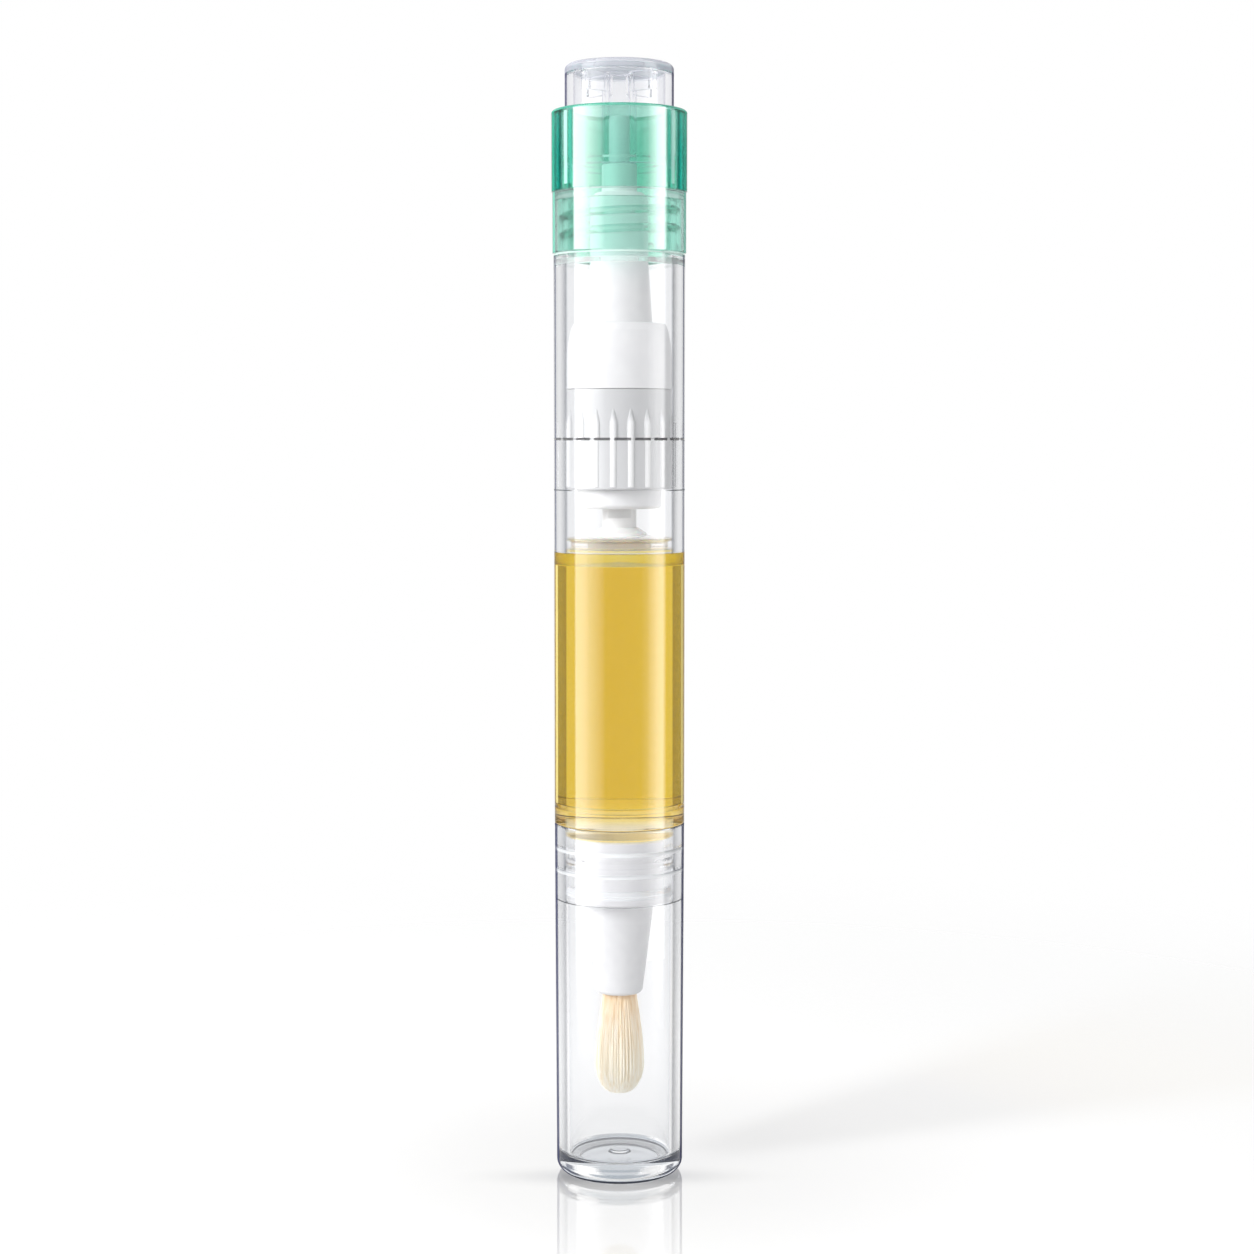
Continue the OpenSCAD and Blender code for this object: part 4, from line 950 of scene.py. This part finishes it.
green_plastic = see_through(
    "green_tinted_styrene",
    [(0.0, (0.74, 0.93, 0.875)), (0.24, (0.70, 0.93, 0.86)), (0.28, (0.42, 0.82, 0.70)),
     (0.33, (0.50, 0.90, 0.79)), (0.40, (0.58, 0.96, 0.86)), (0.55, (0.55, 0.96, 0.85)),
     (0.66, (0.62, 0.97, 0.88)), (0.76, (0.60, 0.95, 0.85)), (0.84, (0.45, 0.85, 0.73)),
     (1.0, (0.75, 0.94, 0.89))],
    film=(0.93, 0.98, 0.97), coat=1.0,
    zones=[(113.0, 113.1, [
        (0.0, (0.40, 0.78, 0.655)), (0.24, (0.34, 0.77, 0.62)), (0.28, (0.30, 0.85, 0.71)),
        (0.34, (0.45, 0.94, 0.84)), (0.365, (0.95, 1.0, 1.0)), (0.40, (1.0, 1.0, 1.0)),
        (0.43, (0.35, 0.85, 0.72)), (0.46, (0.05, 0.42, 0.30)), (0.495, (0.0, 0.08, 0.05)),
        (0.53, (0.0, 0.08, 0.05)), (0.575, (0.0, 0.58, 0.40)), (0.61, (0.01, 0.55, 0.37)),
        (0.655, (0.0, 0.20, 0.13)), (0.70, (0.01, 0.50, 0.34)), (0.78, (0.05, 0.75, 0.52)),
        (0.86, (0.5, 0.93, 0.85)), (1.0, (0.75, 0.97, 0.92)),
    ])],
    lines=[
        # painted dark green rims of the skirt and of the head, as shade
        ((0.20, 0.66, 0.50), 105.3, 113.0,
         [(0.0, 0.0), (0.70, 0.0), (0.76, 0.7), (0.86, 0.6), (0.9, 0.1), (1.0, 0.0)], 7.3),
        ((0.03, 0.42, 0.28), 113.1, 122.0,
         [(0.0, 0.0), (0.66, 0.0), (0.74, 0.6), (0.84, 0.6), (0.9, 0.1), (1.0, 0.0)], 7.3),
        # painted dark green shade on the head's top edge
        ((0.05, 0.45, 0.31), 121.85, 122.35, [(0.0, 0.5), (1.0, 0.6)], 6.9),
        # a painted mint highlight stripe and painted mid green shade before it
        ((0.58, 1.0, 0.88), HEAD_LOW, HEAD_HIGH, band(0.345, 0.37, 0.405, 0.43, 0.65), 7.3),
        ((0.10, 0.60, 0.45), HEAD_LOW, HEAD_HIGH, [
            (0.0, 0.0), (0.27, 0.0), (0.29, 0.45), (0.33, 0.35), (0.345, 0.0), (1.0, 0.0)], 7.3),
    ],
)
print("collar finish:", len(green_plastic.node_tree.nodes), "nodes")

# %% [markdown]
# ## Tail collar
# A thick head over a thin skirt that is screwed on the neck. The step between them lies at one
# height outside and inside, so both are one profile.

# %% Tail collar
lathed("green_collar", [
    (4.95, 105.2), (5.55, 105.2), (5.85, 105.5), (5.85, 112.1), (7.05, 112.1, 0.05),
    (7.05, 106.2, 0.05), (7.62, 106.2, 0.08), (7.62, 113.1), (7.72, 113.1, 0.04),
    (7.72, 122.2, 0.3), (6.24, 122.2, 0.15), (6.24, 116.8, 0.05), (6.5, 116.8),
    (6.5, 113.1, 0.05), (4.95, 113.1, 0.05),
], "barrel", green_plastic, ["tail_collar"])

# %% [markdown]
# ## Push button
# A clear cup with a rounded rim, a bead that keeps it in the collar, and a boss on the
# pusher's pin. Its thick top is painted greyer, as shade, by a zone and a soft line, and a
# painted dark outline runs along its wall.

# %% Push button
clear_button = see_through(
    "polished_clear_button",
    # The tint paints shade darker towards the rim, and greyer still over the thick top.
    [(0.0, (0.97, 0.972, 0.98)), (0.30, (0.96, 0.963, 0.975)), (0.50, (0.90, 0.905, 0.94)),
     (0.66, (0.84, 0.85, 0.90)), (0.76, (0.48, 0.49, 0.58)), (1.0, (0.4, 0.4, 0.5))],
    zones=[(126.2, 126.4, [
        (0.0, (0.84, 0.845, 0.88)), (0.5, (0.76, 0.765, 0.82)), (0.8, (0.62, 0.625, 0.70)),
        (1.0, (0.55, 0.55, 0.65)),
    ])],
    lines=[
        # A painted dark outline on the wall, then painted grey shade over the thick top.
        ((0.09, 0.09, 0.16), 122.3, 127.0, CAP_EDGE, 6),
        ((0.60, 0.61, 0.68), 126.3, 127.7, [(0.0, 0.3), (1.0, 0.55)], 0),
    ],
)
button = lathed("clear_button", [
    (5.24, 115.8, 0.05), (6.45, 115.8, 0.1), (6.45, 116.34, 0.05), (6.19, 116.6, 0.05),
    (6.19, 127.4, 0.65), (0, 127.4), (0, 126.4), (1.22, 126.4), (1.22, 116.2), (1.95, 116.2, 0.05),
    (1.95, 126.4, 0.1), (5.24, 126.4, 0.3),
], "button", clear_button, ["push_button"])

# %% [markdown]
# Four small ribs tie the boss to the wall. Overlapping shells would show as mirrors inside the
# plastic, so the ribs are joined with a Boolean, and its result replaces the button's mesh.

# %% Ribs in the button
BUTTON_RIBS = 4
bm = bmesh.new()
for k in range(BUTTON_RIBS):
    seat = Matrix.Translation((3.6 * MM, 0, 125.4 * MM))
    size = Matrix.Diagonal((3.5 * MM, 0.7 * MM, 2.4 * MM, 1))
    turn = Matrix.Rotation(math.radians(45 + 360 / BUTTON_RIBS * k), 4, "Z")
    bmesh.ops.create_cube(bm, size=1, matrix=turn @ seat @ size)
rib_mesh = bpy.data.meshes.new("button_ribs")
bm.to_mesh(rib_mesh)
bm.free()
ribs = bpy.data.objects.new("button_ribs", rib_mesh)
bpy.context.scene.collection.objects.link(ribs)
joining = button.modifiers.new("join_ribs", "BOOLEAN")
joining.operation = "UNION"
joining.solver = "EXACT"
joining.object = ribs
joined = bpy.data.meshes.new_from_object(
    button.evaluated_get(bpy.context.evaluated_depsgraph_get())
)
button.modifiers.clear()
button.data = joined
bpy.data.objects.remove(ribs)
print("button with ribs", len(joined.polygons), "faces")

# %% [markdown]
# ## Floor
# The photograph has no horizon: a white floor runs into a white backdrop. A large plane would
# show its rim. The floor is therefore a disc that fades out before its rim, in front of a
# world that is white where it is looked at. It is a little glossy round the pen's foot, and a
# painted shadow greys it in a flat soft ellipse there, as under anything that stands on a white
# table.

# %% Floor
FLOOR_R, FLOOR_DROP = 0.5, 0.02
bm = bmesh.new()
bmesh.ops.create_circle(bm, cap_ends=True, segments=96, radius=FLOOR_R)
bmesh.ops.translate(bm, verts=bm.verts[:], vec=(0, 0, -FLOOR_DROP * MM))
floor_mesh = bpy.data.meshes.new("floor")
bm.to_mesh(floor_mesh)
bm.free()
floor = bpy.data.objects.new("floor", floor_mesh)
bpy.context.scene.collection.objects.link(floor)
print("floor", 2 * FLOOR_R, "m across")

# %% Finish of the floor
def reach_step(nodes, links, near, far, squeeze=1.0, forward=0.0):
    """1 near the pen's foot and 0 far from it, in millimetres; squeezed, it is an ellipse."""
    place = nodes.new("ShaderNodeTexCoord")
    shape = nodes.new("ShaderNodeMapping")
    shape.inputs["Location"].default_value = (0, forward * squeeze * MM, 0)
    shape.inputs["Scale"].default_value = (1, squeeze, 1)
    links.new(place.outputs["Object"], shape.inputs["Vector"])
    reach = nodes.new("ShaderNodeVectorMath")
    reach.operation = "LENGTH"
    links.new(shape.outputs["Vector"], reach.inputs[0])
    step = nodes.new("ShaderNodeMapRange")
    step.interpolation_type = "SMOOTHSTEP"
    step.inputs["From Min"].default_value = near * MM
    step.inputs["From Max"].default_value = far * MM
    step.inputs["To Min"].default_value = 1.0
    step.inputs["To Max"].default_value = 0.0
    links.new(reach.outputs["Value"], step.inputs["Value"])
    return step.outputs["Result"]


gloss_floor, nodes, links = fresh_material("glossy_white_floor")
shader = nodes["Principled BSDF"]
shader.inputs["Roughness"].default_value = 0.5
shader.inputs["Specular IOR Level"].default_value = 0.0
# A painted shadow: grey in a flat soft ellipse just in front of the pen's foot.
shade = ramp_of(nodes, links, reach_step(nodes, links, 3, 21, 4.0, 3.2), [
    (0.0, (1, 1, 1)), (0.35, (0.93, 0.93, 0.93)), (0.75, (0.78, 0.78, 0.79)),
    (1.0, (0.64, 0.65, 0.67)),
])
links.new(shade, shader.inputs["Base Color"])
mirror = nodes.new("ShaderNodeBsdfGlossy")
mirror.inputs["Roughness"].default_value = 0.03
gloss = arithmetic(nodes, links, "MULTIPLY", reach_step(nodes, links, 6, 60), 0.5)
polished = mixed_shader(nodes, links, gloss, shader.outputs["BSDF"], mirror.outputs["BSDF"])
clear = nodes.new("ShaderNodeBsdfTransparent")
fading = mixed_shader(
    nodes, links, reach_step(nodes, links, 30, 200), clear.outputs["BSDF"], polished
)
links.new(fading, nodes["Material Output"].inputs["Surface"])
floor.data.materials.append(gloss_floor)
print("floor finish:", len(nodes), "nodes")

# %% [markdown]
# ## World
# The world has three faces. Looked at, also through the plastic, it is plain white. As a light
# it is dimmer, so that the lamp can still shape the white parts. In reflections it is a room:
# white above and straight behind the pen, and dark in front and at the sides, because polished
# walls need something dark to mirror.

# %% World
world = bpy.data.worlds.new("white_studio")
bpy.context.scene.world = world
world.use_nodes = True
nodes, links = world.node_tree.nodes, world.node_tree.links
lighting = nodes["Background"]
lighting.inputs["Color"].default_value = (1, 1, 1, 1)
lighting.inputs["Strength"].default_value = 0.7
backdrop = nodes.new("ShaderNodeBackground")
backdrop.inputs["Color"].default_value = (1, 1, 1, 1)
backdrop.inputs["Strength"].default_value = 1.0
room = nodes.new("ShaderNodeBackground")
room.inputs["Strength"].default_value = 1.0
place = nodes.new("ShaderNodeTexCoord")
way = nodes.new("ShaderNodeSeparateXYZ")
links.new(place.outputs["Generated"], way.inputs["Vector"])
behind = ramp_of(nodes, links, step_between(nodes, links, way.outputs["Y"], 0.2, 1.0), [
    (0.0, (0.05, 0.05, 0.06)), (0.8, (0.07, 0.07, 0.08)), (0.93, (0.25, 0.25, 0.27)),
    (1.0, (0.9, 0.9, 0.9)),
])
above = step_between(nodes, links, way.outputs["Z"], 0.12, 0.2)
plain_white = nodes.new("ShaderNodeRGB")
plain_white.outputs["Color"].default_value = (1, 1, 1, 1)
links.new(
    mixed(nodes, links, above, behind, plain_white.outputs["Color"]), room.inputs["Color"]
)
path = nodes.new("ShaderNodeLightPath")
seen = arithmetic(
    nodes, links, "MAXIMUM", path.outputs["Is Camera Ray"], path.outputs["Is Transmission Ray"]
)
unseen = mixed_shader(
    nodes, links, path.outputs["Is Glossy Ray"],
    lighting.outputs["Background"], room.outputs["Background"],
)
links.new(
    mixed_shader(nodes, links, seen, unseen, backdrop.outputs["Background"]),
    nodes["World Output"].inputs["Surface"],
)
print("world:", len(nodes), "nodes")

# %% [markdown]
# ## Lamp
# One soft lamp from the left and in front, a little above the pen, gives the white parts their
# shading and the floor its shadow. It stays out of reflections, because a square lamp in a round
# wall would show as a hard patch.

# %% Lamp
def softbox(name, place, aim, size, watts):
    """A square area lamp that looks at a point."""
    lamp = bpy.data.objects.new(name, bpy.data.lights.new(name, "AREA"))
    bpy.context.scene.collection.objects.link(lamp)
    lamp.data.size = size
    lamp.data.energy = watts
    lamp.location = place
    lamp.rotation_euler = (Vector(aim) - Vector(place)).to_track_quat("-Z", "Y").to_euler()
    lamp.visible_camera = False
    lamp.visible_glossy = False
    lamp.visible_transmission = False
    print(name, watts, "W")


softbox("key_softbox", (-0.5, -0.35, 0.35), (0, 0, 0.06), 0.3, 4.0)

# %% [markdown]
# ## Reflector cards
# The long bright lines on the plastic are reflections of tall white cards on both sides. A lamp
# with a hard edge would draw too sharp a line, so a card is a strip of a cylinder that glows by a
# ramp across its width. Where it doesn't glow it is transparent, so that it hides nothing, and
# light linking keeps it off the floor, which would mirror it from behind.

# %% Reflector cards
CARD_R, CARD_LOW, CARD_HIGH, CARD_STEPS = 0.12, -0.05, 0.25, 24
pen_only = bpy.data.collections.new("all_but_the_floor")
pen_only.objects.link(floor)
pen_only.collection_objects[0].light_linking.link_state = "EXCLUDE"


def card_x(azimuth_deg):
    """How far to the side a card's point lies."""
    return CARD_R * math.sin(math.radians(azimuth_deg))


def card_mesh(name, start_deg, end_deg):
    """A strip of a cylinder round the pen, between two azimuths."""
    bm = bmesh.new()
    a = bm.verts.new((0, -CARD_R, CARD_LOW))
    b = bm.verts.new((0, -CARD_R, CARD_HIGH))
    bm.edges.new((a, b))
    bmesh.ops.rotate(
        bm, verts=bm.verts[:], cent=(0, 0, 0),
        matrix=Matrix.Rotation(math.radians(start_deg), 3, "Z"),
    )
    bmesh.ops.spin(
        bm, geom=bm.verts[:] + bm.edges[:], cent=(0, 0, 0), axis=(0, 0, 1),
        angle=math.radians(end_deg - start_deg), steps=CARD_STEPS,
        use_merge=False, use_duplicate=False,
    )
    mesh = bpy.data.meshes.new(name)
    bm.to_mesh(mesh)
    bm.free()
    return mesh


def card_glow(name, start_deg, end_deg, strength, fall):
    """Light across a card by a ramp of (azimuth in degrees, share)."""
    material, nodes, links = fresh_material(name)
    nodes.remove(nodes["Principled BSDF"])
    glow = nodes.new("ShaderNodeEmission")
    glow.inputs["Strength"].default_value = strength
    low, high = card_x(start_deg), card_x(end_deg)
    across = step_between(nodes, links, object_axis(nodes, links, "X"), low, high)
    stops = [((card_x(a) - low) / (high - low), (b, b, b)) for a, b in fall]
    links.new(ramp_of(nodes, links, across, stops), glow.inputs["Color"])
    clear = nodes.new("ShaderNodeBsdfTransparent")
    both = nodes.new("ShaderNodeAddShader")
    links.new(clear.outputs["BSDF"], both.inputs[0])
    links.new(glow.outputs["Emission"], both.inputs[1])
    links.new(both.outputs["Shader"], nodes["Material Output"].inputs["Surface"])
    return material


def card(name, start_deg, end_deg, strength, fall):
    """A tall strip of light beside the pen, seen only as a reflection on polished faces."""
    strip = bpy.data.objects.new(name, card_mesh(name, start_deg, end_deg))
    bpy.context.scene.collection.objects.link(strip)
    strip.visible_camera = False
    strip.visible_diffuse = False
    strip.visible_transmission = False
    strip.visible_shadow = False
    strip.light_linking.receiver_collection = pen_only
    strip.data.materials.append(card_glow(name, start_deg, end_deg, strength, fall))
    print(name, end_deg - start_deg, "degrees wide")


card("left_strip", -89, -22, 7.0, [
    (-88, 0.0), (-84, 0.0), (-80, 1.0), (-62, 0.95), (-52, 0.65), (-42, 0.42), (-35, 0.3),
    (-23, 0.0),
])
card("right_strip", 36, 88, 7.0, [
    (37, 0.0), (48, 0.15), (60, 0.6), (68, 0.9), (80, 1.0), (84, 0.5), (87, 0.1),
])

# %% [markdown]
# ## Last settings
# Standard view transform, so that a colour comes out as it was mixed, and enough bounces for a
# ray to cross cap, barrel, oil and the same again on its way out.

# %% Settings and size
BOUNCES = 32
scene = bpy.context.scene
scene.view_settings.view_transform = "Standard"
scene.cycles.max_bounces = BOUNCES
scene.cycles.transmission_bounces = BOUNCES
scene.cycles.transparent_max_bounces = BOUNCES
scene.cycles.glossy_bounces = 16
